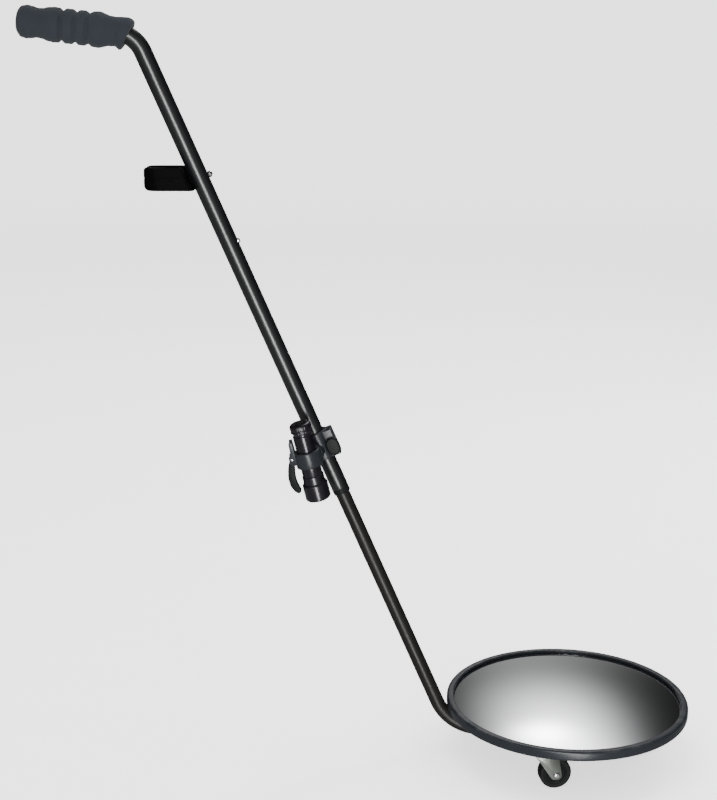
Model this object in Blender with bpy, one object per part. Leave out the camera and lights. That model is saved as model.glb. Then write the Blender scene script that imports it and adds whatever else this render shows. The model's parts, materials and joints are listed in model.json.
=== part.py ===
import math

import bpy
import numpy as np
from mathutils import Matrix, Vector

MM = 0.001

# Driving dimensions, metres. Heights and places here are measured from the middle of the mirror's
# back plate, on its underside; add() then moves everything so that the grip's middle is the origin.
LEAN = math.radians(23.3)
FLOOR_Z = -0.056

RIM_R = 0.155
RIM_TOP = 0.011
GLASS_R = 0.1505
GLASS_SAG = 0.018
GLASS_T = 0.0025
PLATE_T = 0.0028

UPPER_R = 0.01075
UPPER_BORE_R = 0.0094
LOWER_R = 0.0090
LOWER_BORE_R = 0.0077

FOOT_BEND_R = 0.064
FOOT_TURN = math.pi / 2 - LEAN
RUN_Z = -0.0338
RUN_LENGTH = 0.1243
FOOT = Vector((-0.1681, 0.0, 0.0049))

UPPER_END_S = 0.3150
UPPER_BEND_S = 0.8927
TOP_BEND_R = 0.038
TOP_TURN = math.radians(60.4)
GRIP_STRAIGHT = 0.1105
LOWER_TOP_S = 0.6754

BUTTON_S = 0.6480
BUTTON_PITCH = 0.050
BUTTON_HOLES = 7
BUTTON_R = 0.0030

LOOP_S = 0.7336
LOOP_LENGTH = 0.0547
LOOP_DEPTH = 0.036
LOOP_HALF_HEIGHT = 0.014
LOOP_T = 0.003

CASTER_RADIUS = 0.122
CASTER_ANGLES = (0.0, 111.0, -111.0)
CASTER_TURN = (200.0, 25.0, 8.0)
TRAIL = 0.015
WHEEL_R = 0.020
WHEEL_Z = FLOOR_Z + WHEEL_R

CLAMP_S = 0.3726
TORCH_OFFSET = 0.038
TORCH_SIDE = math.radians(25.7)
TORCH_LEAN = math.radians(13.0)

PALETTE = {
    "gloss_black": ((0.012, 0.012, 0.013), 0.0, 0.16),
    "satin_black": ((0.022, 0.021, 0.020), 0.0, 0.34),
    "foam": ((0.085, 0.105, 0.125), 0.0, 0.95),
    "matte_black": ((0.024, 0.026, 0.026), 0.0, 0.65),
    "black_plastic": ((0.030, 0.034, 0.037), 0.0, 0.42),
    "slate_plastic": ((0.060, 0.072, 0.080), 0.0, 0.45),
    "rubber": ((0.028, 0.028, 0.029), 0.0, 0.75),
    "zinc": ((0.62, 0.63, 0.64), 1.0, 0.30),
    "steel": ((0.70, 0.70, 0.71), 1.0, 0.24),
    "mirror": ((0.93, 0.94, 0.95), 1.0, 0.02),
    "board": ((0.10, 0.10, 0.11), 0.0, 0.60),
    "anodised": ((0.030, 0.028, 0.034), 0.8, 0.28),
    "lens": ((0.90, 0.94, 0.96), 0.0, 0.05),
    "chrome": ((0.85, 0.85, 0.86), 1.0, 0.08),
    "cell": ((0.10, 0.16, 0.30), 0.0, 0.40),
}

for old in list(bpy.data.objects):
    bpy.data.objects.remove(old, do_unlink=True)
for old in list(bpy.data.meshes):
    bpy.data.meshes.remove(old)


def material(name):
    found = bpy.data.materials.get(name)
    if found:
        return found
    color, metallic, roughness = PALETTE[name]
    made = bpy.data.materials.new(name)
    made.use_nodes = True
    shader = made.node_tree.nodes["Principled BSDF"]
    shader.inputs["Base Color"].default_value = (*color, 1.0)
    shader.inputs["Metallic"].default_value = metallic
    shader.inputs["Roughness"].default_value = roughness
    made.diffuse_color = (*color, 1.0)
    return made


def frame(origin, z_axis=(0, 0, 1), x_hint=(1, 0, 0)):
    """Matrix of a local frame: Z along z_axis, X as near as it can be to x_hint."""
    z = Vector(z_axis).normalized()
    x = Vector(x_hint)
    x = (x - z * x.dot(z)).normalized()
    y = z.cross(x)
    turned = Matrix((x, y, z)).transposed().to_4x4()
    return Matrix.Translation(Vector(origin)) @ turned


POLE_UP = Vector((-math.sin(LEAN), 0, math.cos(LEAN)))
POLE_OUT = Vector((math.cos(LEAN), 0, math.sin(LEAN)))
POLE = frame(FOOT, POLE_UP, POLE_OUT)


def on_pole(s, out=0.0):
    return FOOT + POLE_UP * s + POLE_OUT * out


def upper_station(d):
    """Point of the upper tube's centreline at distance d above its open end."""
    straight = UPPER_BEND_S - UPPER_END_S
    arc = TOP_BEND_R * TOP_TURN
    if d <= straight:
        return (0.0, UPPER_END_S + d, 0.0)
    turn = min((d - straight) / TOP_BEND_R, TOP_TURN)
    x = -TOP_BEND_R + TOP_BEND_R * math.cos(turn)
    z = UPPER_BEND_S + TOP_BEND_R * math.sin(turn)
    rest = max(d - straight - arc, 0.0)
    return (x - rest * math.sin(turn), z + rest * math.cos(turn), turn)


UPPER_STRAIGHT = UPPER_BEND_S - UPPER_END_S
UPPER_ARC = TOP_BEND_R * TOP_TURN
UPPER_TOTAL = UPPER_STRAIGHT + UPPER_ARC + GRIP_STRAIGHT
GRIP_START = UPPER_TOTAL + 0.0042
GRIP_LENGTH = 0.130
grip_x, grip_z, grip_turn = upper_station(GRIP_START - GRIP_LENGTH / 2)
GRIP_AT = POLE @ Vector((grip_x, 0, grip_z))


def add(name, verts, faces, mat, place, angle=40.0, helper=False):
    mesh = bpy.data.meshes.new(name)
    mesh.from_pydata([tuple(v) for v in verts], [], faces)
    mesh.validate()
    obj = bpy.data.objects.new(name, mesh)
    bpy.context.scene.collection.objects.link(obj)
    obj.matrix_world = Matrix.Translation(-GRIP_AT) @ place
    mesh.materials.append(material(mat))
    mesh.shade_smooth()
    mesh.set_sharp_from_angle(angle=math.radians(angle))
    if helper:
        obj.hide_render = True
        obj.display_type = "WIRE"
    return obj


def grid_faces(rows, cols, close_rows):
    faces = []
    for i in range(rows if close_rows else rows - 1):
        j = (i + 1) % rows
        for k in range(cols):
            m = (k + 1) % cols
            faces.append((i * cols + k, i * cols + m, j * cols + m, j * cols + k))
    return faces


def lathe_mesh(profile, segments):
    """Closed (r, z) outline, listed anticlockwise seen with r to the right and z up, turned about Z."""
    verts = []
    index = []
    for r, z in profile:
        if r < 1e-7:
            index.append([len(verts)] * segments)
            verts.append((0.0, 0.0, z))
            continue
        index.append([len(verts) + k for k in range(segments)])
        for k in range(segments):
            turn = 2 * math.pi * k / segments
            verts.append((r * math.cos(turn), r * math.sin(turn), z))
    faces = []
    for i in range(len(profile)):
        a = index[i]
        b = index[(i + 1) % len(profile)]
        for k in range(segments):
            m = (k + 1) % segments
            quad = [a[k], a[m], b[m], b[k]]
            face = [v for n, v in enumerate(quad) if v != quad[n - 1]]
            if len(set(face)) > 2:
                faces.append(tuple(face))
    return verts, faces


def lathe(name, profile_mm, mat, place, segments=24, angle=40.0, helper=False):
    profile = [(r * MM, z * MM) for r, z in profile_mm]
    verts, faces = lathe_mesh(profile, segments)
    return add(name, verts, faces, mat, place, angle, helper)


def prism_mesh(outline, low, high):
    """Anticlockwise (x, y) outline pulled from z = low to z = high."""
    count = len(outline)
    verts = [(x, y, low) for x, y in outline] + [(x, y, high) for x, y in outline]
    faces = [tuple(range(count - 1, -1, -1)), tuple(range(count, 2 * count))]
    for k in range(count):
        m = (k + 1) % count
        faces.append((k, m, count + m, count + k))
    return verts, faces


def prism(name, outline_mm, low, high, mat, place, helper=False):
    outline = [(x * MM, y * MM) for x, y in outline_mm]
    verts, faces = prism_mesh(outline, low * MM, high * MM)
    return add(name, verts, faces, mat, place, 35.0, helper)


def rounded(width, depth, radius, steps=5):
    """Anticlockwise rounded rectangle round the origin, in millimetres."""
    points = []
    for qx, qy, start in ((1, 1, 0), (-1, 1, 90), (-1, -1, 180), (1, -1, 270)):
        for k in range(steps + 1):
            turn = math.radians(start + 90 * k / steps)
            points.append(
                (
                    qx * (width / 2 - radius) + radius * math.cos(turn),
                    qy * (depth / 2 - radius) + radius * math.sin(turn),
                )
            )
    return points


def rods(name, items, place, segments=12):
    """One helper holding straight cylinders: each is (base, direction, radius, length) in metres."""
    verts = []
    faces = []
    for base, way, radius, length in items:
        at = frame(base, way, (0.3, 1.0, 0.2))
        start = len(verts)
        ring, sides = lathe_mesh([(0, 0), (radius, 0), (radius, length), (0, length)], segments)
        verts += [at @ Vector(v) for v in ring]
        faces += [tuple(start + v for v in face) for face in sides]
    return add(name, verts, faces, "steel", place, helper=True)


def combine(obj, other, operation):
    step = obj.modifiers.new(operation.title() + "_" + other.name, "BOOLEAN")
    step.operation = operation
    step.solver = "EXACT"
    step.object = other


def sweep(name, stations, outer, inner, mat, place, segments=20, angle=40.0):
    """Tube along stations (x, z, turn) in the local XZ plane; inner is None for a solid end to end."""
    rings = []
    order = [(stations, outer)]
    if inner is not None:
        order.append((stations[::-1], inner[::-1]))
    for path, radii in order:
        for (x, z, turn), radius in zip(path, radii):
            ring = []
            for k in range(segments):
                phi = 2 * math.pi * k / segments
                across = radius * math.cos(phi)
                ring.append(
                    (
                        x + across * math.cos(turn),
                        radius * math.sin(phi),
                        z + across * math.sin(turn),
                    )
                )
            rings.append(ring)
    verts = [v for ring in rings for v in ring]
    faces = grid_faces(len(rings), segments, True)
    return add(name, verts, faces, mat, place, angle)


def screw(name, place, mat, head_r, head_h, shank_r, shank_l, segments=10):
    """Pan head on +Z, shank down -Z, seat at Z = 0."""
    profile = [
        (0, -shank_l),
        (shank_r, -shank_l),
        (shank_r, 0),
        (head_r, 0),
        (head_r, head_h * 0.45),
        (head_r * 0.7, head_h),
        (0, head_h),
    ]
    return lathe(name, profile, mat, place, segments, 35.0)


# ---------------------------------------------------------------- handle
upper_d = [0.0, 0.001]
upper_d += list(np.linspace(UPPER_STRAIGHT, UPPER_STRAIGHT + UPPER_ARC, 10))
upper_d += [UPPER_TOTAL - 0.001, UPPER_TOTAL]
upper_outer = [UPPER_R] * len(upper_d)
upper_outer[0] -= 0.0004
upper_outer[-1] -= 0.0004
upper_tube = sweep(
    "upper_tube",
    [upper_station(d) for d in upper_d],
    upper_outer,
    [UPPER_BORE_R] * len(upper_d),
    "gloss_black",
    POLE,
)
holes = [
    ((0.004, 0, BUTTON_S - BUTTON_PITCH * k), (1, 0, 0), BUTTON_R + 0.0004, 0.012)
    for k in range(BUTTON_HOLES)
]
holes.append(((-0.02, 0, LOOP_S), (1, 0, 0), 0.0024, 0.04))
combine(upper_tube, rods("upper_tube_cutter", holes, POLE), "DIFFERENCE")

# Grip radius along its length from the free end, millimetres.
GRIP_PROFILE = (
    (0.0, 8.0),
    (1.6, 13.2),
    (5.6, 17.6),
    (13.0, 19.1),
    (24.0, 17.0),
    (35.0, 19.0),
    (46.0, 20.3),
    (50.0, 19.2),
    (52.8, 16.8),
    (55.6, 19.0),
    (60.9, 20.2),
    (66.0, 19.0),
    (68.7, 17.1),
    (71.4, 19.1),
    (76.2, 20.3),
    (81.0, 19.1),
    (83.8, 17.4),
    (86.6, 19.3),
    (92.9, 20.8),
    (104.0, 18.2),
    (115.0, 16.9),
    (121.0, 18.8),
    (125.0, 19.4),
    (129.3, 17.8),
    (130.0, 14.5),
)
GRIP_BORE = UPPER_R + 0.0003


def grip_mesh(segments=20):
    verts = []
    rings = []
    outer = [(GRIP_START - s * MM, r * MM) for s, r in GRIP_PROFILE]
    low = GRIP_START - GRIP_PROFILE[-1][0] * MM
    within = [d for d in upper_d if low + 0.0005 < d < UPPER_TOTAL - 0.0015]
    bore = [(d, GRIP_BORE) for d in [low, *within, UPPER_TOTAL + 0.0006]]
    for d, radius in outer + bore:
        x, z, turn = upper_station(d)
        rings.append(len(verts))
        for k in range(segments):
            phi = 2 * math.pi * k / segments
            across = radius * math.cos(phi)
            verts.append(
                (
                    x + across * math.cos(turn),
                    radius * math.sin(phi),
                    z + across * math.sin(turn),
                )
            )
    faces = []
    for a, b in zip(rings[:-1], rings[1:]):
        for k in range(segments):
            m = (k + 1) % segments
            faces.append((a + k, b + k, b + m, a + m))
    for ring, flip in ((rings[0], False), (rings[-1], True)):
        loop = [ring + k for k in range(segments)]
        faces.append(tuple(loop[::-1] if flip else loop))
    return verts, faces


verts, faces = grip_mesh()
add("foam_grip", verts, faces, "foam", POLE, 50.0)


def loop_mesh():
    """Band round a D-shaped plan; its pole end is sheared to lie along the leaning tube."""
    left_r = LOOP_DEPTH / 2 - 0.0005
    right_r = 0.007
    plan = []
    for cx, cy, radius, start in (
        (LOOP_LENGTH - right_r, LOOP_DEPTH / 2 - right_r, right_r, 0),
        (left_r, LOOP_DEPTH / 2 - left_r, left_r, 90),
        (left_r, -LOOP_DEPTH / 2 + left_r, left_r, 180),
        (LOOP_LENGTH - right_r, -LOOP_DEPTH / 2 + right_r, right_r, 270),
    ):
        for k in range(7):
            turn = math.radians(start + 90 * k / 6)
            normal = (math.cos(turn), math.sin(turn))
            plan.append((cx + radius * normal[0], cy + radius * normal[1], normal))
    section = (
        (0.0, 0.62),
        (0.0, -0.62),
        (0.0, -0.86),
        (0.3, -0.96),
        (0.75, -1.0),
        (1.0, -0.93),
        (1.0, 0.93),
        (0.75, 1.0),
        (0.3, 0.96),
        (0.0, 0.86),
    )
    verts = []
    for x, y, normal in plan:
        round_off = max(0.0, 1.0 - x / 0.0065)
        half = LOOP_HALF_HEIGHT - 0.0062 * (1.0 - math.sqrt(max(0.0, 1.0 - round_off**2)))
        for depth, level in section:
            px = x - normal[0] * LOOP_T * depth
            py = y - normal[1] * LOOP_T * depth
            pz = half * level
            shear = -pz * math.tan(LEAN) * min(1.0, max(0.0, px / (LOOP_LENGTH - right_r)))
            verts.append((px - LOOP_LENGTH + shear, py, pz))
    return verts, grid_faces(len(plan), len(section), True)


LOOP_REACH = (UPPER_R + 0.0004) / math.cos(LEAN)
verts, faces = loop_mesh()
hand_loop = add(
    "hand_loop",
    verts,
    faces,
    "matte_black",
    frame(on_pole(LOOP_S) - Vector((LOOP_REACH, 0, 0))),
    40.0,
)
loop_axis = frame(on_pole(LOOP_S), -POLE_OUT, POLE_UP)
loop_hole = [((0, 0, 0.008), (0, 0, 1), 0.0024, 0.010)]
combine(hand_loop, rods("hand_loop_cutter", loop_hole, loop_axis), "DIFFERENCE")
screw(
    "loop_screw",
    loop_axis @ Matrix.Translation((0, 0, 0.0142)),
    "steel",
    4.0,
    2.4,
    2.0,
    30.2,
)
NUT = [
    (3.9 * math.cos(math.radians(60 * k)), 3.9 * math.sin(math.radians(60 * k)))
    for k in range(6)
]
loop_nut = prism(
    "loop_nut",
    NUT,
    11.0,
    14.2,
    "steel",
    frame(on_pole(LOOP_S), POLE_OUT, POLE_UP),
)
nut_hole = [((0, 0, 0.009), (0, 0, 1), 0.0023, 0.008)]
combine(
    loop_nut,
    rods("loop_nut_cutter", nut_hole, frame(on_pole(LOOP_S), POLE_OUT, POLE_UP)),
    "DIFFERENCE",
)
lathe(
    "guide_bush",
    [(9.3, -6.2), (10.1, -6.2), (10.7, -5.6), (10.75, -5.0), (10.75, -0.3), (9.3, -0.3)],
    "black_plastic",
    frame(on_pole(UPPER_END_S), POLE_UP, POLE_OUT),
    32,
)


# ---------------------------------------------------------------- lower pole
def lower_station(d):
    """Point of the lower tube's centreline at distance d below its top end."""
    if d <= LOWER_TOP_S:
        return (0.0, LOWER_TOP_S - d, math.pi)
    turn = min((d - LOWER_TOP_S) / FOOT_BEND_R, FOOT_TURN)
    x = FOOT_BEND_R * (1 - math.cos(turn))
    z = -FOOT_BEND_R * math.sin(turn)
    rest = max(d - LOWER_TOP_S - FOOT_BEND_R * FOOT_TURN, 0.0)
    return (x + rest * math.sin(turn), z - rest * math.cos(turn), math.pi + turn)


LOWER_ARC = FOOT_BEND_R * FOOT_TURN
LOWER_TOTAL = LOWER_TOP_S + LOWER_ARC + RUN_LENGTH
lower_d = [0.0, 0.001]
lower_d += list(np.linspace(LOWER_TOP_S, LOWER_TOP_S + LOWER_ARC, 10))
lower_d += [LOWER_TOTAL - 0.001, LOWER_TOTAL]
lower_outer = [LOWER_R] * len(lower_d)
lower_outer[0] -= 0.0004
lower_outer[-1] -= 0.0004
lower_tube = sweep(
    "lower_tube",
    [lower_station(d) for d in lower_d],
    lower_outer,
    [LOWER_BORE_R] * len(lower_d),
    "satin_black",
    POLE,
)
button_hole = [((0.003, 0, BUTTON_S), (1, 0, 0), BUTTON_R + 0.0003, 0.009)]
combine(lower_tube, rods("lower_tube_cutter", button_hole, POLE), "DIFFERENCE")
lathe(
    "slide_bush",
    [(0, -14), (6.6, -14), (7.35, -13), (7.35, 0.3), (8.8, 0.3), (8.8, 3.2), (8.2, 4.0), (0, 4.0)],
    "black_plastic",
    frame(on_pole(LOWER_TOP_S), POLE_UP, POLE_OUT),
)
lathe(
    "snap_button",
    [(0, 4.8), (4.2, 4.8), (4.2, 5.8), (3.0, 5.9), (3.0, 11.9), (2.7, 12.5), (1.9, 13.0), (0, 13.2)],
    "steel",
    frame(on_pole(BUTTON_S), POLE_OUT, POLE_UP),
    20,
)


def strip(points, thickness):
    """Anticlockwise outline of a bent strip of even thickness along an open line of points."""
    path = np.array(points, float)
    along = np.gradient(path, axis=0)
    along /= np.linalg.norm(along, axis=1)[:, None]
    side = np.stack([-along[:, 1], along[:, 0]], 1) * thickness / 2
    return [tuple(p) for p in np.concatenate([path - side, (path + side)[::-1]])]


SPRING_LINE = [(7.0, 4.1), (-6.0, 3.8), (-20.0, 1.6), (-31.0, -0.9)]
SPRING_LINE += [(-34.0, -2.2), (-35.0, -3.6), (-34.0, -5.0), (-31.0, -5.8)]
SPRING_LINE += [(-15.0, -6.2), (8.0, -6.4)]
spring_place = frame(on_pole(BUTTON_S), Vector((0, 1, 0)), POLE_UP)
prism("button_spring", strip(SPRING_LINE, 0.7), -2.6, 2.6, "steel", spring_place)

# ---------------------------------------------------------------- mirror head
UPRIGHT = frame((0, 0, 0))


def dome(radius, edge_z, sag, steps, full):
    """(r, z) points in millimetres from the edge to the axis of a spherical cap."""
    ball = (full**2 + sag**2) / (2 * sag)
    points = []
    for k in range(steps + 1):
        r = radius * (1 - k / steps)
        z = edge_z + math.sqrt(ball**2 - r**2) - (ball - sag)
        points.append((r, z))
    return points


glass_r = GLASS_R / MM
glass_top = dome(glass_r, 3.4 + GLASS_T / MM, GLASS_SAG / MM, 8, glass_r)
glass_low = dome(glass_r, 3.4, GLASS_SAG / MM, 4, glass_r)
lathe(
    "mirror_glass",
    [(r, z) for r, z in glass_low[::-1]] + glass_top,
    "mirror",
    UPRIGHT,
    40,
)
rim_r = RIM_R / MM
rim_top = RIM_TOP / MM
lathe(
    "mirror_rim",
    [
        (147.0, -1.5),
        (rim_r - 2.5, -1.5),
        (rim_r - 0.8, -0.8),
        (rim_r, 0.9),
        (rim_r, rim_top - 2.8),
        (rim_r - 0.8, rim_top - 0.8),
        (rim_r - 2.7, rim_top),
        (147.6, rim_top),
        (146.3, rim_top - 0.6),
        (146.0, 9.2),
        (146.0, 7.4),
        (150.9, 7.4),
        (150.9, -0.3),
        (147.0, -0.3),
    ],
    "slate_plastic",
    UPRIGHT,
    44,
)
back_plate = lathe(
    "back_plate",
    [(0, 0), (glass_r, 0), (glass_r, PLATE_T / MM), (0, PLATE_T / MM)],
    "board",
    UPRIGHT,
    40,
)
BRACKET_X = (-0.072, 0.012)
BRACKET_LOW = (RUN_Z + LOWER_R + 0.0003) / MM
HAT = [
    (-36.0, -0.3),
    (-36.0, -2.8),
    (-24.5, -2.8),
    (-24.5, BRACKET_LOW),
    (24.5, BRACKET_LOW),
    (24.5, -2.8),
    (36.0, -2.8),
    (36.0, -0.3),
    (22.0, -0.3),
    (22.0, BRACKET_LOW + 2.5),
    (-22.0, BRACKET_LOW + 2.5),
    (-22.0, -0.3),
]
along_x = frame((0, 0, 0), (1, 0, 0), (0, 1, 0))
pole_bracket = prism(
    "pole_bracket", HAT, BRACKET_X[0] / MM, BRACKET_X[1] / MM, "zinc", along_x
)
SADDLE_X = (-0.058, -0.002)
SCREW_Y = 0.0155
saddle_cuts = []
for number, x in enumerate(SADDLE_X, 1):
    top = BRACKET_LOW - 0.3
    arc = [math.radians(180 + 180 * k / 12) for k in range(13)]
    outline = [(-20.0, top), (-20.0, top - 2.0), (-11.5, top - 2.0)]
    outline += [(11.5 * math.cos(a), RUN_Z / MM + 11.5 * math.sin(a)) for a in arc]
    outline += [(11.5, top - 2.0), (20.0, top - 2.0), (20.0, top), (9.4, top)]
    outline += [(9.4 * math.cos(a), RUN_Z / MM + 9.4 * math.sin(a)) for a in arc[::-1]]
    outline += [(-9.4, top)]
    saddle = prism(f"saddle_{number}", outline, x / MM - 7, x / MM + 7, "zinc", along_x)
    cuts = [((x, y, -0.030), (0, 0, 1), 0.0023, 0.010) for y in (-SCREW_Y, SCREW_Y)]
    combine(saddle, rods(f"saddle_cutter_{number}", cuts, UPRIGHT), "DIFFERENCE")
    saddle_cuts += cuts
    for side, y in enumerate((-SCREW_Y, SCREW_Y), 1):
        seat = (x, y, (top - 2.2) * MM)
        screw(f"saddle_screw_{number}{side}", frame(seat, (0, 0, -1)), "steel", 3.6, 2.2, 2.0, 6.0)
BRACKET_SCREWS = ((-0.060, 0.0302), (0.000, -0.0302))
plate_cuts = [((x, y, -0.006), (0, 0, 1), 0.0023, 0.012) for x, y in BRACKET_SCREWS]
combine(
    pole_bracket,
    rods("pole_bracket_cutter", saddle_cuts + plate_cuts, UPRIGHT),
    "DIFFERENCE",
)
for number, (x, y) in enumerate(BRACKET_SCREWS, 1):
    screw(f"bracket_screw_{number}", frame((x, y, -0.003), (0, 0, -1)), "steel", 3.8, 2.3, 2.0, 5.6)

# ---------------------------------------------------------------- casters
FORK_SIDE = [
    (15.0, -36.0 - 6.0),
    (19.2, -40.2),
    (21.0, -36.0),
    (17.5, -12.0),
    (15.0, -6.0),
    (-10.5, -6.0),
    (-12.0, -9.0),
    (-9.5, -13.0),
    (8.6, -38.2),
    (10.8, -40.6),
]
for number, (angle, turn) in enumerate(zip(CASTER_ANGLES, CASTER_TURN), 1):
    spin = math.radians(angle)
    at = Vector((CASTER_RADIUS * math.cos(spin), CASTER_RADIUS * math.sin(spin), 0))
    fixed = frame(at)
    trail = Vector((math.cos(math.radians(turn)), math.sin(math.radians(turn)), 0))
    swivel = frame(at, (0, 0, 1), trail)
    plate = prism(f"caster_plate_{number}", rounded(44, 34, 9), -2.3, -0.3, "zinc", fixed)
    boss = lathe(
        f"caster_boss_{number}",
        [(0, -5.2), (8.2, -5.2), (9.4, -4.2), (9.4, -1.2), (0, -1.2)],
        "zinc",
        fixed,
        helper=True,
    )
    combine(plate, boss, "UNION")
    cuts = [((0, 0, -0.008), (0, 0, 1), 0.0034, 0.012)]
    cuts += [((x, 0, -0.008), (0, 0, 1), 0.0023, 0.012) for x in (-0.0165, 0.0165)]
    combine(plate, rods(f"caster_plate_cutter_{number}", cuts, fixed), "DIFFERENCE")
    plate_cuts += [
        (tuple(at + Vector((x, 0, -0.006))), (0, 0, 1), 0.0023, 0.012)
        for x in (-0.0165, 0.0165)
    ]
    for side, x in enumerate((-0.0165, 0.0165), 1):
        seat = at + Vector((x, 0, -0.0025))
        screw(f"plate_screw_{number}{side}", frame(seat, (0, 0, -1)), "steel", 3.6, 2.1, 2.0, 5.0)
    fork = lathe(
        f"caster_fork_{number}",
        [(3.4, -8.2), (14.6, -8.2), (15.4, -7.4), (15.4, -6.4), (14.6, -5.6), (3.4, -5.6)],
        "zinc",
        swivel,
    )
    for side, y in (("a", 10.6), ("b", -12.2)):
        cheek_place = swivel @ frame((0, 0, 0), (0, -1, 0), (1, 0, 0))
        low, high = sorted((-y, -y - 1.6))
        cheek = prism(f"fork_cheek_{number}{side}", FORK_SIDE, low, high, "zinc", cheek_place, True)
        combine(fork, cheek, "UNION")
    axle_cut = [((TRAIL, -0.016, WHEEL_Z), (0, 1, 0), 0.0029, 0.032)]
    combine(fork, rods(f"caster_fork_cutter_{number}", axle_cut, swivel), "DIFFERENCE")
    lathe(
        f"kingpin_{number}",
        [(0, -10.4), (4.2, -10.4), (5.4, -9.6), (5.4, -8.5), (3.0, -8.5), (3.0, -0.7), (0, -0.7)],
        "steel",
        fixed,
        12,
    )
    hub_place = swivel @ frame((TRAIL, 0, WHEEL_Z), (0, 1, 0), (1, 0, 0))
    lathe(
        f"caster_axle_{number}",
        [
            (0, -14.2),
            (2.6, -14.2),
            (4.0, -13.4),
            (4.2, -12.6),
            (2.5, -12.6),
            (2.5, 12.6),
            (4.2, 12.6),
            (4.0, 13.4),
            (2.6, 14.2),
            (0, 14.2),
        ],
        "steel",
        hub_place,
        12,
    )
    lathe(
        f"caster_hub_{number}",
        [
            (2.9, -9.8),
            (5.6, -9.8),
            (6.2, -6.0),
            (11.2, -5.0),
            (12.2, -7.4),
            (13.7, -7.4),
            (13.7, 7.4),
            (12.2, 7.4),
            (11.2, 5.0),
            (6.2, 6.0),
            (5.6, 9.8),
            (2.9, 9.8),
        ],
        "black_plastic",
        hub_place,
        14,
    )
    lathe(
        f"caster_tyre_{number}",
        [
            (14.0, -7.4),
            (17.2, -8.0),
            (19.0, -7.2),
            (20.0, -5.0),
            (20.0, 5.0),
            (19.0, 7.2),
            (17.2, 8.0),
            (14.0, 7.4),
        ],
        "rubber",
        hub_place,
        24,
    )
combine(back_plate, rods("back_plate_cutter", plate_cuts, UPRIGHT), "DIFFERENCE")

# ---------------------------------------------------------------- torch and its holder
OFFSET = (-POLE_OUT * math.sin(TORCH_SIDE) + Vector((0, -math.cos(TORCH_SIDE), 0))).normalized()
lean_x = -math.sin(TORCH_LEAN)
lean_z = math.cos(TORCH_LEAN)
lean_y = -(lean_x * OFFSET.x + lean_z * OFFSET.z) / OFFSET.y
TORCH_UP = Vector((lean_x, lean_y, lean_z)).normalized()
TORCH_AT = on_pole(CLAMP_S) + OFFSET * TORCH_OFFSET
TORCH = frame(TORCH_AT, TORCH_UP, OFFSET)
lathe(
    "torch_barrel",
    [(9.6, -20.0), (12.0, -20.0), (12.4, -19.4), (12.4, 33.0), (11.2, 34.0), (11.2, 35.6), (9.6, 35.6)],
    "anodised",
    TORCH,
    24,
)
lathe(
    "torch_head",
    [
        (12.2, -52.0),
        (14.2, -52.0),
        (15.6, -50.2),
        (15.6, -32.0),
        (14.8, -30.6),
        (13.5, -29.4),
        (13.3, -20.3),
        (5.0, -20.3),
        (5.0, -24.0),
        (12.9, -34.0),
        (13.4, -34.6),
        (13.4, -49.4),
        (12.2, -50.2),
    ],
    "anodised",
    TORCH,
    24,
)
lathe(
    "torch_lens",
    [(0, -49.0), (13.0, -49.0), (13.0, -46.8), (0, -46.8)],
    "lens",
    TORCH,
    24,
)
lathe(
    "torch_reflector",
    [
        (3.0, -33.2),
        (6.5, -37.0),
        (10.0, -42.0),
        (12.2, -46.4),
        (13.0, -46.4),
        (13.0, -35.4),
        (3.0, -27.4),
    ],
    "chrome",
    TORCH,
    18,
)
lathe(
    "torch_battery",
    [(0, -16.5), (8.4, -16.5), (9.2, -15.6), (9.2, 31.0), (8.4, 32.0), (2.8, 32.0), (2.8, 33.4), (0, 33.4)],
    "cell",
    TORCH,
    14,
)
lathe(
    "torch_tail_cap",
    [
        (6.2, 42.0),
        (9.0, 40.5),
        (9.6, 35.9),
        (11.2, 35.9),
        (11.2, 37.0),
        (13.4, 38.0),
        (13.4, 39.8),
        (12.4, 40.4),
        (12.4, 41.2),
        (13.4, 42.0),
        (13.4, 45.6),
        (12.4, 47.4),
        (10.4, 48.4),
        (6.2, 48.4),
    ],
    "anodised",
    TORCH,
    24,
)
lathe(
    "torch_switch",
    [(0, 39.0), (7.6, 39.0), (7.6, 40.6), (5.8, 41.4), (5.8, 48.6), (5.0, 49.6), (3.0, 50.2), (0, 50.4)],
    "rubber",
    TORCH,
    16,
)

CLAMP = frame(on_pole(CLAMP_S), POLE_UP, POLE_OUT)
tube_clamp = lathe(
    "tube_clamp",
    [(11.1, -14.0), (14.6, -14.0), (15.2, -13.2), (15.2, 20.2), (14.6, 21.0), (11.1, 21.0)],
    "slate_plastic",
    CLAMP,
    28,
)
LUG = CLAMP @ Matrix.Translation((0.0147, -0.004, 0))
lug = prism("clamp_lug", rounded(13, 22.0, 2.5), -13.6, 20.6, "slate_plastic", LUG, True)
combine(tube_clamp, lug, "UNION")
ACROSS = frame(on_pole(CLAMP_S), OFFSET, POLE_UP)
boss = lathe(
    "clamp_boss",
    [(0, 12.0), (9.9, 12.0), (9.9, 18.4), (9.1, 19.2), (0, 19.2)],
    "slate_plastic",
    ACROSS,
    helper=True,
)
combine(tube_clamp, boss, "UNION")
slit = prism("clamp_slit", [(8, -1.0), (32, -1.0), (32, 1.0), (8, 1.0)], -17, 24, "steel", CLAMP, True)
combine(tube_clamp, slit, "DIFFERENCE")
bore = lathe(
    "clamp_bore", [(0, -17), (11.1, -17), (11.1, 24), (0, 24)], "steel", CLAMP, 28, helper=True
)
combine(tube_clamp, bore, "DIFFERENCE")
KNOB_X = 0.0156
clamp_cuts = [((KNOB_X, -0.017, 0.0), (0, 1, 0), 0.0024, 0.029)]
combine(tube_clamp, rods("clamp_cutter", clamp_cuts, CLAMP), "DIFFERENCE")
pin_cuts = [((0, 0, 0.0128), (0, 0, 1), 0.0028, 0.012)]
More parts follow.
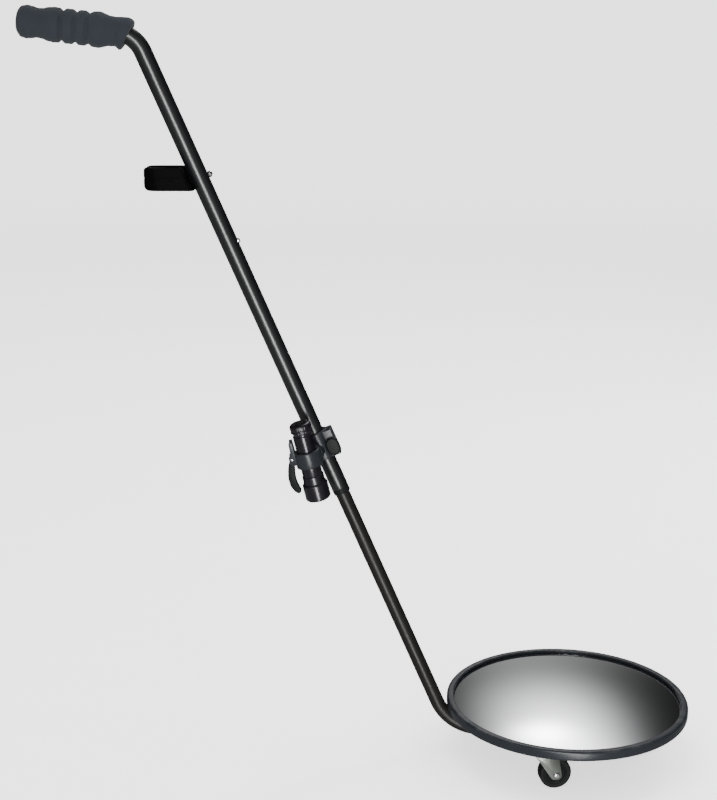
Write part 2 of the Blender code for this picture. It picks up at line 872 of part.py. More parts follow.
combine(tube_clamp, rods("clamp_pin_cutter", pin_cuts, ACROSS), "DIFFERENCE")
KNOB = CLAMP @ frame((KNOB_X, 0, 0), (0, -1, 0), (1, 0, 0))
clamp_knob = lathe(
    "clamp_knob",
    [(0, -11.5), (1.6, -11.5), (2.0, -11.0), (2.0, 15.3), (4.6, 15.3), (4.6, 17.0), (0, 17.0)],
    "black_plastic",
    KNOB,
    16,
)
wing = prism("knob_wing", rounded(17, 22, 8.0, 6), 15.7, 22.5, "black_plastic", KNOB, True)
combine(clamp_knob, wing, "UNION")
lathe(
    "swivel_pin",
    [(0, 13.2), (2.5, 13.2), (2.5, 21.6), (0, 21.6)],
    "steel",
    ACROSS,
    16,
)

RING_IN = 12.75
RING_OUT = 16.4
ring = lathe(
    "torch_ring",
    [
        (RING_IN, -7.5),
        (RING_OUT - 0.6, -7.5),
        (RING_OUT, -6.7),
        (RING_OUT, 11.7),
        (RING_OUT - 0.6, 12.5),
        (RING_IN, 12.5),
    ],
    "slate_plastic",
    TORCH,
    26,
)
hub = lathe(
    "ring_hub",
    [(0, 19.6), (9.1, 19.6), (9.9, 20.4), (9.9, 25.0), (0, 25.0)],
    "slate_plastic",
    ACROSS,
    helper=True,
)
combine(ring, hub, "UNION")
SIDE_WAY = Vector((-1, 0, 0))
SIDE_WAY = (SIDE_WAY - TORCH_UP * SIDE_WAY.dot(TORCH_UP)).normalized()
LEVER = frame(TORCH_AT, SIDE_WAY.cross(TORCH_UP), SIDE_WAY)
EAR = [(14.2, -2.0), (20.5, -2.0), (23.0, 1.0), (23.0, 9.0), (21.0, 12.0), (19.6, 15.0)]
EAR += [(19.0, 28.0), (14.6, 28.0), (14.2, 12.0)]
for tag, low in (("a", 4.4), ("b", -7.4)):
    ear = prism(
        f"ring_ear_{tag}",
        EAR,
        low,
        low + 3.0,
        "slate_plastic",
        LEVER,
        True,
    )
    combine(ring, ear, "UNION")
ring_bore = lathe(
    "ring_bore", [(0, -14), (12.75, -14), (12.75, 14), (0, 14)], "steel", TORCH, 26, helper=True
)
combine(ring, ring_bore, "DIFFERENCE")
ring_slit = prism(
    "ring_slit", [(10, -12), (30, -12), (30, 16), (10, 16)], -0.9, 0.9, "steel", LEVER, True
)
combine(ring, ring_slit, "DIFFERENCE")
combine(ring, rods("ring_pin_cutter", [((0, 0, 0.0150), (0, 0, 1), 0.0028, 0.0072)], ACROSS), "DIFFERENCE")
LEVER_PIN = (0.0196, 0.0062)
pin_hole = [((LEVER_PIN[0], LEVER_PIN[1], -0.010), (0, 0, 1), 0.0018, 0.020)]
combine(ring, rods("ring_ear_cutter", pin_hole, LEVER), "DIFFERENCE")
LEVER_LINE = [(19.6, 6.2, 5.6), (20.8, 1.0, 7.0), (22.8, -5.0, 8.2), (24.6, -13.0, 9.0)]
LEVER_LINE += [(25.4, -20.0, 9.4), (25.0, -27.0, 9.4), (23.2, -33.0, 8.6), (21.6, -36.4, 7.0)]


def lever_outline():
    """Anticlockwise outline round a curved line of (x, y, width) with rounded ends."""
    path = np.array(LEVER_LINE)
    fine = np.linspace(0, len(path) - 1, 22)
    knots = np.arange(len(path))
    x, y, width = (np.interp(fine, knots, path[:, k]) for k in range(3))
    for _ in range(2):
        x[1:-1] = (x[:-2] + 2 * x[1:-1] + x[2:]) / 4
        y[1:-1] = (y[:-2] + 2 * y[1:-1] + y[2:]) / 4
    along = np.gradient(np.stack([x, y], 1), axis=0)
    along /= np.linalg.norm(along, axis=1)[:, None]
    side = np.stack([-along[:, 1], along[:, 0]], 1) * width[:, None] / 2
    centre = np.stack([x, y], 1)
    right = centre - side
    left = (centre + side)[::-1]
    tip = []
    for end, way, half in ((centre[-1], along[-1], side[-1]), (centre[0], -along[0], -side[0])):
        turns = np.radians([-60, -30, 0, 30, 60])
        size = np.linalg.norm(half)
        tip.append([end + way * size * math.cos(t) + half * math.sin(t) for t in turns])
    points = np.array([*right, *tip[0], *left, *tip[1]]) - np.array(LEVER_PIN) / MM
    return [tuple(p) for p in points]


PIN = LEVER @ Matrix.Translation((LEVER_PIN[0], LEVER_PIN[1], 0))
lever = prism("ring_lever", lever_outline(), -3.9, 3.9, "black_plastic", PIN)
combine(lever, rods("lever_cutter", pin_hole, LEVER), "DIFFERENCE")
lathe(
    "lever_pin",
    [(0, -7.6), (1.5, -7.6), (1.5, 7.6), (0, 7.6)],
    "steel",
    PIN,
    14,
)
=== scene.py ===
import math

import bpy
import numpy as np
from mathutils import Matrix, Vector
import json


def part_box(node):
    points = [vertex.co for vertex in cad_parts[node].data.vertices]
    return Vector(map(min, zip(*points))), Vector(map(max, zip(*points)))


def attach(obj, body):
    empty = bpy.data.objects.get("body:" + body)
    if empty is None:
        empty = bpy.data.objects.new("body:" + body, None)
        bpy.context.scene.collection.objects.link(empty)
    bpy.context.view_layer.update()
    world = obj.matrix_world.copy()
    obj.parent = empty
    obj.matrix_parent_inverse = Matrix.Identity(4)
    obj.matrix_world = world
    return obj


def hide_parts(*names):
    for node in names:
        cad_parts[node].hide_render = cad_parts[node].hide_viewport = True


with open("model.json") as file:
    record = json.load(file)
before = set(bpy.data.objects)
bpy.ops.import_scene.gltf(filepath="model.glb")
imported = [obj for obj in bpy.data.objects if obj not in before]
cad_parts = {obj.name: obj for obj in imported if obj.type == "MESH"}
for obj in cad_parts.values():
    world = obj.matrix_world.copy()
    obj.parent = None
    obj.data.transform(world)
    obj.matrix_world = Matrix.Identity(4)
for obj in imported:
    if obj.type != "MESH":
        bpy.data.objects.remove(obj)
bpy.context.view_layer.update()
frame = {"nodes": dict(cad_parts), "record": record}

rng = np.random.default_rng(41)
fine = 1.0

# Shared geometry: the middle of the back plate's underside, and the leaning pole.
plateLow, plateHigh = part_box("back_plate")
head = Vector(((plateLow.x + plateHigh.x) / 2, 0, plateLow.z))
floorZ = head.z - 0.056
lean = math.radians(23.3)
poleUp = Vector((-math.sin(lean), 0, math.cos(lean)))
poleOut = Vector((math.cos(lean), 0, math.sin(lean)))
foot = head + Vector((-0.1681, 0, 0.0049))


def onPole(s, out=0.0):
    return foot + poleUp * s + poleOut * out


def axes(origin, zAxis=(0, 0, 1), xHint=(1, 0, 0)):
    z = Vector(zAxis).normalized()
    x = Vector(xHint)
    x = (x - z * x.dot(z)).normalized()
    turned = Matrix((x, z.cross(x), z)).transposed().to_4x4()
    return Matrix.Translation(Vector(origin)) @ turned


def moved(points, place):
    m = np.array(place)
    return points @ m[:3, :3].T + m[:3, 3]


# Materials
def link(tree, a, b):
    tree.links.new(a, b)


def socket(tree, name, kind, out=False, value=None):
    made = tree.interface.new_socket(name, in_out="OUTPUT" if out else "INPUT", socket_type=kind)
    if value is not None:
        made.default_value = value
    return made


# Fine grain: a height from two sizes of noise, and a slow patchy value, both in 0 to 1
def grainGroup():
    tree = bpy.data.node_groups.new("grain", "ShaderNodeTree")
    socket(tree, "Scale", "NodeSocketFloat", value=400.0)
    socket(tree, "Stretch", "NodeSocketVector", value=(1.0, 1.0, 1.0))
    socket(tree, "Height", "NodeSocketFloat", True)
    socket(tree, "Patch", "NodeSocketFloat", True)
    n = tree.nodes
    start = n.new("NodeGroupInput")
    end = n.new("NodeGroupOutput")
    coord = n.new("ShaderNodeTexCoord")
    mult = n.new("ShaderNodeVectorMath")
    mult.operation = "MULTIPLY"
    link(tree, coord.outputs["Object"], mult.inputs[0])
    link(tree, start.outputs["Stretch"], mult.inputs[1])
    small = n.new("ShaderNodeTexNoise")
    small.inputs["Detail"].default_value = 3.0
    link(tree, mult.outputs[0], small.inputs["Vector"])
    link(tree, start.outputs["Scale"], small.inputs["Scale"])
    slow = n.new("ShaderNodeTexNoise")
    slow.inputs["Scale"].default_value = 18.0
    slow.inputs["Detail"].default_value = 4.0
    link(tree, coord.outputs["Object"], slow.inputs["Vector"])
    link(tree, small.outputs["Fac"], end.inputs["Height"])
    link(tree, slow.outputs["Fac"], end.inputs["Patch"])
    return tree


# Dust on upward faces, broken up by noise: a mask in 0 to 1
def dustGroup():
    tree = bpy.data.node_groups.new("dust", "ShaderNodeTree")
    socket(tree, "Amount", "NodeSocketFloat", value=0.2)
    socket(tree, "Mask", "NodeSocketFloat", True)
    n = tree.nodes
    start = n.new("NodeGroupInput")
    end = n.new("NodeGroupOutput")
    geo = n.new("ShaderNodeNewGeometry")
    split = n.new("ShaderNodeSeparateXYZ")
    link(tree, geo.outputs["Normal"], split.inputs[0])
    up = n.new("ShaderNodeMapRange")
    up.inputs["From Min"].default_value = 0.1
    up.inputs["From Max"].default_value = 0.95
    link(tree, split.outputs["Z"], up.inputs["Value"])
    coord = n.new("ShaderNodeTexCoord")
    noise = n.new("ShaderNodeTexNoise")
    noise.inputs["Scale"].default_value = 60.0
    noise.inputs["Detail"].default_value = 6.0
    link(tree, coord.outputs["Object"], noise.inputs["Vector"])
    spots = n.new("ShaderNodeMapRange")
    spots.inputs["From Min"].default_value = 0.45
    spots.inputs["From Max"].default_value = 0.75
    link(tree, noise.outputs["Fac"], spots.inputs["Value"])
    both = n.new("ShaderNodeMath")
    both.operation = "MULTIPLY"
    link(tree, up.outputs["Result"], both.inputs[0])
    link(tree, spots.outputs["Result"], both.inputs[1])
    last = n.new("ShaderNodeMath")
    last.operation = "MULTIPLY"
    link(tree, both.outputs[0], last.inputs[0])
    link(tree, start.outputs["Amount"], last.inputs[1])
    link(tree, last.outputs[0], end.inputs["Mask"])
    return tree


# Worn edges: the bevelled normal against the true one, as a mask in 0 to 1
def wearGroup():
    tree = bpy.data.node_groups.new("edgeWear", "ShaderNodeTree")
    socket(tree, "Radius", "NodeSocketFloat", value=0.0008)
    socket(tree, "Mask", "NodeSocketFloat", True)
    n = tree.nodes
    start = n.new("NodeGroupInput")
    end = n.new("NodeGroupOutput")
    geo = n.new("ShaderNodeNewGeometry")
    bevel = n.new("ShaderNodeBevel")
    bevel.samples = 4
    link(tree, start.outputs["Radius"], bevel.inputs["Radius"])
    dot = n.new("ShaderNodeVectorMath")
    dot.operation = "DOT_PRODUCT"
    link(tree, bevel.outputs["Normal"], dot.inputs[0])
    link(tree, geo.outputs["Normal"], dot.inputs[1])
    ramp = n.new("ShaderNodeMapRange")
    ramp.inputs["From Min"].default_value = 0.99
    ramp.inputs["From Max"].default_value = 0.80
    link(tree, dot.outputs["Value"], ramp.inputs["Value"])
    link(tree, ramp.outputs["Result"], end.inputs["Mask"])
    return tree


grain = grainGroup()
dust = dustGroup()
wear = wearGroup()


# Painted, moulded or plated surface: patchy colour and roughness, grain bump, dust, worn edges
def finish(name, color, metallic=0.0, rough=(0.3, 0.4), scale=500.0, bump=0.08, depth=0.0002,
           dusty=0.05, worn=0.0, wornColor=(0.3, 0.3, 0.3), stretch=(1, 1, 1), vary=0.08, extra=None):
    mat = bpy.data.materials.new(name)
    mat.use_nodes = True
    tree = mat.node_tree
    n = tree.nodes
    shader = n["Principled BSDF"]
    shader.inputs["Metallic"].default_value = metallic
    g = n.new("ShaderNodeGroup")
    g.node_tree = grain
    g.inputs["Scale"].default_value = scale
    g.inputs["Stretch"].default_value = stretch
    tone = n.new("ShaderNodeMix")
    tone.data_type = "RGBA"
    tone.inputs["A"].default_value = (*[c * (1 - vary) for c in color], 1)
    tone.inputs["B"].default_value = (*[c * (1 + vary) for c in color], 1)
    link(tree, g.outputs["Patch"], tone.inputs["Factor"])
    d = n.new("ShaderNodeGroup")
    d.node_tree = dust
    d.inputs["Amount"].default_value = dusty
    grey = n.new("ShaderNodeMix")
    grey.data_type = "RGBA"
    grey.inputs["B"].default_value = (0.42, 0.41, 0.39, 1)
    link(tree, d.outputs["Mask"], grey.inputs["Factor"])
    link(tree, tone.outputs["Result"], grey.inputs["A"])
    out = grey.outputs["Result"]
    if worn:
        w = n.new("ShaderNodeGroup")
        w.node_tree = wear
        amount = n.new("ShaderNodeMath")
        amount.operation = "MULTIPLY"
        amount.inputs[1].default_value = worn
        link(tree, w.outputs["Mask"], amount.inputs[0])
        bare = n.new("ShaderNodeMix")
        bare.data_type = "RGBA"
        bare.inputs["B"].default_value = (*wornColor, 1)
        link(tree, amount.outputs[0], bare.inputs["Factor"])
        link(tree, out, bare.inputs["A"])
        out = bare.outputs["Result"]
    link(tree, out, shader.inputs["Base Color"])
    r = n.new("ShaderNodeMapRange")
    r.inputs["From Min"].default_value = 0.3
    r.inputs["From Max"].default_value = 0.7
    r.inputs["To Min"].default_value = rough[0]
    r.inputs["To Max"].default_value = rough[1]
    link(tree, g.outputs["Patch"], r.inputs["Value"])
    link(tree, r.outputs["Result"], shader.inputs["Roughness"])
    b = n.new("ShaderNodeBump")
    b.inputs["Strength"].default_value = bump
    b.inputs["Distance"].default_value = depth
    link(tree, g.outputs["Height"], b.inputs["Height"])
    link(tree, b.outputs["Normal"], shader.inputs["Normal"])
    for key, value in (extra or {}).items():
        shader.inputs[key].default_value = value
    return mat


# Closed-cell foam: small Voronoi pores over a soft noise, matte, with a little sheen
def foamFinish():
    mat = bpy.data.materials.new("foam")
    mat.use_nodes = True
    tree = mat.node_tree
    n = tree.nodes
    shader = n["Principled BSDF"]
    shader.inputs["Roughness"].default_value = 0.88
    shader.inputs["Specular IOR Level"].default_value = 0.25
    shader.inputs["Sheen Weight"].default_value = 0.04
    shader.inputs["Sheen Roughness"].default_value = 0.5
    coord = n.new("ShaderNodeTexCoord")
    cells = n.new("ShaderNodeTexVoronoi")
    cells.inputs["Scale"].default_value = 900.0
    link(tree, coord.outputs["Object"], cells.inputs["Vector"])
    pores = n.new("ShaderNodeMapRange")
    pores.inputs["From Min"].default_value = 0.05
    pores.inputs["From Max"].default_value = 0.45
    link(tree, cells.outputs["Distance"], pores.inputs["Value"])
    g = n.new("ShaderNodeGroup")
    g.node_tree = grain
    g.inputs["Scale"].default_value = 260.0
    total = n.new("ShaderNodeMath")
    total.operation = "MULTIPLY_ADD"
    total.inputs[1].default_value = 0.45
    link(tree, pores.outputs["Result"], total.inputs[0])
    link(tree, g.outputs["Height"], total.inputs[2])
    b = n.new("ShaderNodeBump")
    b.inputs["Strength"].default_value = 0.30
    b.inputs["Distance"].default_value = 0.0006
    link(tree, total.outputs[0], b.inputs["Height"])
    link(tree, b.outputs["Normal"], shader.inputs["Normal"])
    tone = n.new("ShaderNodeMix")
    tone.data_type = "RGBA"
    tone.inputs["A"].default_value = (0.0085, 0.0112, 0.0150, 1)
    tone.inputs["B"].default_value = (0.0135, 0.0172, 0.0228, 1)
    link(tree, g.outputs["Patch"], tone.inputs["Factor"])
    link(tree, tone.outputs["Result"], shader.inputs["Base Color"])
    return mat


mats = {
    "gloss_black": finish("glossBlack", (0.0036, 0.004, 0.0045), 0, (0.30, 0.36), 900, 0.03, 0.0001,
                          dusty=0.01, extra={"Coat Weight": 0.45, "Coat Roughness": 0.24}),
    "satin_black": finish("satinBlack", (0.006, 0.0055, 0.005), 0, (0.34, 0.44), 1200, 0.08,
                          dusty=0.02, stretch=(1, 1, 0.2), extra={"Specular IOR Level": 0.3}),
    "foam": foamFinish(),
    "matte_black": finish("matteBlack", (0.0014, 0.0014, 0.0015), 0, (0.42, 0.52), 1500, 0.10,
                          extra={"Specular IOR Level": 0.015}),
    "black_plastic": finish("blackPlastic", (0.005, 0.006, 0.006), 0, (0.38, 0.50), 1400, 0.16,
                            worn=0.25, wornColor=(0.05, 0.055, 0.055),
                            extra={"Specular IOR Level": 0.08}),
    "slate_plastic": finish("slatePlastic", (0.011, 0.013, 0.016), 0, (0.26, 0.36), 1300, 0.16,
                            worn=0.30, wornColor=(0.07, 0.08, 0.085),
                            extra={"Specular IOR Level": 0.32}),
    "rubber": finish("rubber", (0.004, 0.004, 0.004), 0, (0.55, 0.70), 900, 0.22, dusty=0.02,
                     extra={"Specular IOR Level": 0.16}),
    "zinc": finish("zincPlate", (0.22, 0.235, 0.212), 1.0, (0.24, 0.40), 700, 0.10, dusty=0.06,
                   vary=0.14),
    "steel": finish("brightSteel", (0.68, 0.68, 0.68), 1.0, (0.14, 0.26), 1500, 0.06, dusty=0.04),
    "mirror": finish("silvered", (0.90, 0.91, 0.92), 1.0, (0.015, 0.035), 40, 0.02, 0.0001,
                     dusty=0.03, vary=0.01),
    "board": finish("board", (0.07, 0.07, 0.075), 0, (0.45, 0.60), 600, 0.25, dusty=0.0),
    "anodised": finish("anodised", (0.005, 0.0042, 0.0062), 0.30, (0.24, 0.32), 1600, 0.05,
                       dusty=0.02, worn=0.35, wornColor=(0.16, 0.15, 0.17),
                       extra={"Coat Weight": 0.6, "Coat Roughness": 0.18,
                              "Coat Tint": (0.95, 0.88, 1.0, 1)}),
    "lens": finish("lens", (0.93, 0.96, 0.97), 0, (0.02, 0.05), 200, 0.02, dusty=0.01,
                   extra={"Transmission Weight": 1.0, "IOR": 1.49}),
    "chrome": finish("reflector", (0.86, 0.86, 0.87), 1.0, (0.04, 0.10), 300, 0.03, dusty=0.0),
    "cell": finish("cellWrap", (0.08, 0.14, 0.28), 0, (0.30, 0.42), 500, 0.05, dusty=0.0),
}
print("materials", len(mats))


# Mesh builders
# Makes the mesh, shades it, ties it to its body, gives it its slot's material and hides the CAD nodes it
# stands for
def piece(name, verts, faces, slot, body, nodes, sharp=32.0):
    mesh = bpy.data.meshes.new(name)
    mesh.from_pydata(np.asarray(verts, float).tolist(), [], faces)
    mesh.validate()
    mesh.update()
    obj = bpy.data.objects.new(name, mesh)
    bpy.context.scene.collection.objects.link(obj)
    mesh.materials.append(mats[slot])
    mesh.shade_smooth()
    mesh.set_sharp_from_angle(angle=math.radians(sharp))
    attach(obj, body)
    if nodes:
        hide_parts(*nodes)
    return obj


# Faces between successive rings of equal length (k, n, 3), with end caps or closed on itself
def ringStack(rings, capFirst=True, capLast=True, closed=False):
    rings = np.asarray(rings, float)
    k, n, _ = rings.shape
    i = np.arange(k if closed else k - 1)[:, None]
    j = np.arange(n)[None, :]
    nxt = (i + 1) % k
    m = (j + 1) % n
    quads = np.stack([i * n + j, i * n + m, nxt * n + m, nxt * n + j], -1).reshape(-1, 4)
    faces = quads.tolist()
    if not closed and capFirst:
        faces.append(list(range(n))[::-1])
    if not closed and capLast:
        faces.append(list(range((k - 1) * n, k * n)))
    return rings.reshape(-1, 3), faces


def join(*parts):
    verts = []
    faces = []
    start = 0
    for v, f in parts:
        verts.append(np.asarray(v))
        faces += [[start + a for a in face] for face in f]
        start += len(v)
    return np.concatenate(verts), faces


# Outline with each corner (x, y, radius) turned into an arc that is tangent to both its sides
def rounded(points, steps=5, closed=True):
    pts = np.array([p[:2] for p in points], float)
    rad = [p[2] if len(p) > 2 else 0.0 for p in points]
    out = []
    count = len(pts)
    for k in range(count):
        p = pts[k]
        if rad[k] <= 0 or (not closed and k in (0, count - 1)):
            out.append(p)
            continue
        a = pts[k - 1] - p
        b = pts[(k + 1) % count] - p
        la, lb = np.linalg.norm(a), np.linalg.norm(b)
        a, b = a / la, b / lb
        half = math.acos(max(-1, min(1, float(a @ b)))) / 2
        cut = min(rad[k] / math.tan(half), 0.49 * la, 0.49 * lb)
        r = cut * math.tan(half)
        mid = (a + b) / np.linalg.norm(a + b)
        centre = p + mid * r / math.sin(half)
        s = p + a * cut - centre
        e = p + b * cut - centre
        t0 = math.atan2(s[1], s[0])
        sweep = math.atan2(e[1], e[0]) - t0
        sweep = (sweep + math.pi) % (2 * math.pi) - math.pi
        for q in np.linspace(0, 1, steps + 1):
            t = t0 + sweep * q
            out.append(centre + r * np.array([math.cos(t), math.sin(t)]))
    return np.array(out)


# Closed (r, z, corner radius) outline turned about the local Z axis: (r cos t, r sin t, z)
def turned(profile, place, segments=64, steps=4, unit=0.001):
    outline = rounded(profile, steps) * unit
    t = np.linspace(0, 2 * math.pi, segments, endpoint=False)
    r = np.maximum(outline[:, 0], 0)[:, None]
    z = np.broadcast_to(outline[:, 1][:, None], (len(outline), segments))
    rings = np.stack([r * np.cos(t), r * np.sin(t), z], -1)
    onAxis = outline[:, 0] < 1e-7
    if onAxis.any():
        start = int(np.argmax(onAxis & ~np.roll(onAxis, -1)))
        rings = np.roll(rings, -start, axis=0)
        verts, faces = ringStack(rings, False, False)
    else:
        verts, faces = ringStack(rings, closed=True)
    return weld(moved(verts, place), faces)


# Merges points that lie together, and drops the faces that collapse
def weld(verts, faces):
    keys = np.round(np.asarray(verts) * 1e7).astype(np.int64)
    _, first, back = np.unique(keys, axis=0, return_index=True, return_inverse=True)
    back = back.reshape(-1)
    kept = []
    for face in faces:
        new = [int(back[v]) for v in face]
        new = [v for i, v in enumerate(new) if v != new[i - 1]]
        if len(set(new)) > 2:
            kept.append(new)
    return np.asarray(verts)[first], kept


# Outline (n, 2), anticlockwise, pulled along Z with its two rims rounded by an inward offset
def slab(outline, low, high, place, bevel=0.6, steps=3, unit=0.001):
    p = np.asarray(outline, float)
    along = np.roll(p, -1, 0) - np.roll(p, 1, 0)
    along /= np.linalg.norm(along, axis=1)[:, None]
    inward = np.stack([-along[:, 1], along[:, 0]], 1)
    rings = []
    for q in np.linspace(0, math.pi / 2, steps + 1):
        inset = bevel * (1 - math.sin(q))
        rings.append(np.c_[p + inward * inset, np.full(len(p), low + bevel * (1 - math.cos(q)))])
    for q in np.linspace(math.pi / 2, 0, steps + 1):
        inset = bevel * (1 - math.sin(q))
        rings.append(np.c_[p + inward * inset, np.full(len(p), high - bevel * (1 - math.cos(q)))])
    verts, faces = ringStack(np.array(rings) * unit)
    return moved(verts, place), faces


# Rings across a bent centreline: centre + r (cos p n + sin p y), n the in-plane normal
def tubeAlong(stations, sections, segments):
    phi = np.linspace(0, 2 * math.pi, segments, endpoint=False)
    s = np.asarray(stations, float)
    r = np.asarray(sections, float)[:, None]
    across = r * np.cos(phi)
    x = s[:, 0:1] + across * np.cos(s[:, 2:3])
    z = s[:, 1:2] + across * np.sin(s[:, 2:3])
    y = r * np.sin(phi)
    return np.stack([x, y, z], -1)


# Closed (r, z, corner) section swept about Z from angle start to end, with flat ends
def arcBand(section, start, end, place, steps=48, unit=0.001):
    outline = rounded(section, 3) * unit
    t = np.linspace(start, end, steps)[:, None]
    r = outline[:, 0][None, :]
    z = np.broadcast_to(outline[:, 1][None, :], (steps, len(outline)))
    rings = np.stack([r * np.cos(t), r * np.sin(t), z], -1)
    verts, faces = ringStack(rings[::-1])
    return moved(verts, place), faces


# Cuts straight round holes: each item is (base, direction, radius, length) in the local frame
def cutBy(obj, items, place, segments=40):
    parts = []
    for base, way, radius, length in items:
        at = axes(base, way, (0.3, 1.0, 0.2))
        outline = [(0, 0), (radius, 0), (radius, length), (0, length)]
        parts.append(turned(outline, at, segments, 1, 1.0))
    verts, faces = join(*parts)
    mesh = bpy.data.meshes.new(obj.name + "Cutter")
    mesh.from_pydata(moved(verts, place).tolist(), [], faces)
    cutter = bpy.data.objects.new(obj.name + "Cutter", mesh)
    bpy.context.scene.collection.objects.link(cutter)
    cutter.hide_render = True
    cutter.hide_viewport = True
    step = obj.modifiers.new("holes", "BOOLEAN")
    step.object = cutter
    step.solver = "EXACT"
    graph = bpy.context.evaluated_depsgraph_get()
    cut = bpy.data.meshes.new_from_object(obj.evaluated_get(graph))
    obj.modifiers.clear()
    obj.data = cut
    cut.shade_smooth()
    cut.set_sharp_from_angle(angle=math.radians(32))
    bpy.data.objects.remove(cutter, do_unlink=True)


# Pole tubes
pole = axes(foot, poleUp, poleOut)
upper = {"radius": 0.01075, "bore": 0.0094, "end": 0.3150, "bend": 0.8927, "bendRadius": 0.038,
         "turn": math.radians(60.4), "straight": 0.1105, "button": 0.648, "pitch": 0.05}
lower = {"radius": 0.0090, "bore": 0.0077, "top": 0.6754, "bendRadius": 0.064,
         "turn": math.pi / 2 - lean, "run": 0.1243}
loopS = 0.7336  # where the hand loop's screw crosses the pole


# Centreline of the upper tube: straight, then an arc of bendRadius, then straight
def upperStation(d):
    d = np.asarray(d, float)
    straight = upper["bend"] - upper["end"]
    turn = np.clip((d - straight) / upper["bendRadius"], 0, upper["turn"])
    rest = np.maximum(d - straight - upper["bendRadius"] * upper["turn"], 0)
    x = -upper["bendRadius"] * (1 - np.cos(turn)) - rest * np.sin(turn)
    z = upper["end"] + np.minimum(d, straight) + upper["bendRadius"] * np.sin(turn)
    return np.stack([x, z + rest * np.cos(turn), turn], 1)


# Centreline of the lower tube from its inner end: straight, arc, then level under the plate
def lowerStation(d):
    d = np.asarray(d, float)
    turn = np.clip((d - lower["top"]) / lower["bendRadius"], 0, lower["turn"])
    rest = np.maximum(d - lower["top"] - lower["bendRadius"] * lower["turn"], 0)
    x = lower["bendRadius"] * (1 - np.cos(turn)) + rest * np.sin(turn)
    z = lower["top"] - np.minimum(d, lower["top"]) - lower["bendRadius"] * np.sin(turn)
    return np.stack([x, z - rest * np.cos(turn), math.pi + turn], 1)


upperArc = upper["bendRadius"] * upper["turn"]
upperStraight = upper["bend"] - upper["end"]
upperTotal = upperStraight + upperArc + upper["straight"]
lowerTotal = lower["top"] + lower["bendRadius"] * lower["turn"] + lower["run"]


# Hollow tube: outer rings out, inner rings back, with softened ends
def pipe(total, bends, station, radius, bore, segments):
    lip = np.array([0, 0.00012, 0.0004])
    drop = np.array([0.0004, 0.00012, 0.0])
    middle = np.linspace(*bends, 33)
    d = np.concatenate([lip, np.linspace(0.01, bends[0], 12)[:-1], middle, (total - lip)[::-1]])
    r = np.full(len(d), radius)
    r[:3] -= drop
    r[-3:] -= drop[::-1]
    out = tubeAlong(station(d), r, segments)
    back = tubeAlong(station(d[::-1]), np.full(len(d), bore), segments)
    verts, faces = ringStack(np.concatenate([out, back]), closed=True)
    return moved(verts, pole), faces


segs = int(72 * fine)
tube = piece("upperTube", *pipe(upperTotal, (upperStraight, upperStraight + upperArc), upperStation,
                                upper["radius"], upper["bore"], segs),
             "gloss_black", "handle", ["upper_tube"])
holes = [((0.004, 0, upper["button"] - upper["pitch"] * k), (1, 0, 0), 0.0034, 0.012)
         for k in range(7)]
holes.append(((-0.02, 0, loopS), (1, 0, 0), 0.0024, 0.04))
cutBy(tube, holes, pole)
inner = piece("lowerTube", *pipe(lowerTotal, (lower["top"], lower["top"] + lower["bendRadius"]
                                              * lower["turn"]), lowerStation,
                                 lower["radius"], lower["bore"], segs),
              "satin_black", "lower_pole", ["lower_tube"])
cutBy(inner, [((0.003, 0, upper["button"]), (1, 0, 0), 0.0033, 0.009)], pole)
print("tubes")

# Foam grip
grip = {"start": upperTotal + 0.0042, "length": 0.130, "bore": upper["radius"] + 0.0003}
# Radius along the grip from its free end, in millimetres: a bulb, a waist, three rounded ribs
# between narrow grooves, a second swell, a neck and the end flange.
gripProfile = np.array([
    (0.0, 8.0), (0.5, 10.8), (1.6, 13.4), (3.3, 15.8), (5.6, 17.6), (9.0, 18.7), (13.0, 19.1),
    (17.0, 18.5), (20.5, 17.5), (24.0, 17.0), (29.0, 17.4), (35.0, 18.9), (41.0, 20.0),
    (46.0, 20.3), (49.2, 19.6), (51.2, 18.0), (52.8, 16.9), (54.4, 18.0), (57.0, 19.7),
    (60.9, 20.2), (64.8, 19.6), (67.0, 18.2), (68.7, 17.2), (70.4, 18.2), (72.8, 19.8),
    (76.2, 20.3), (79.7, 19.7), (82.0, 18.4), (83.8, 17.5), (85.6, 18.5), (88.4, 20.1),
    (92.9, 20.8), (97.5, 20.3), (104.0, 18.3), (110.0, 17.2), (115.0, 16.9), (118.3, 17.6),
    (121.2, 18.8), (125.0, 19.4), (127.8, 19.0), (129.2, 17.7), (129.8, 16.0), (130.0, 13.8)])


# Catmull-Rom through the points, resampled evenly by index
def smoothCurve(points, count):
    p = np.vstack([2 * points[0] - points[1], points, 2 * points[-1] - points[-2]])
    u = np.linspace(0, len(points) - 1 - 1e-9, count)
    i = u.astype(int)
    t = (u - i)[:, None]
    a, b, c, d = p[i], p[i + 1], p[i + 2], p[i + 3]
    return 0.5 * (2 * b + (c - a) * t + (2 * a - 5 * b + 4 * c - d) * t**2
                  + (3 * b - a - 3 * c + d) * t**3)


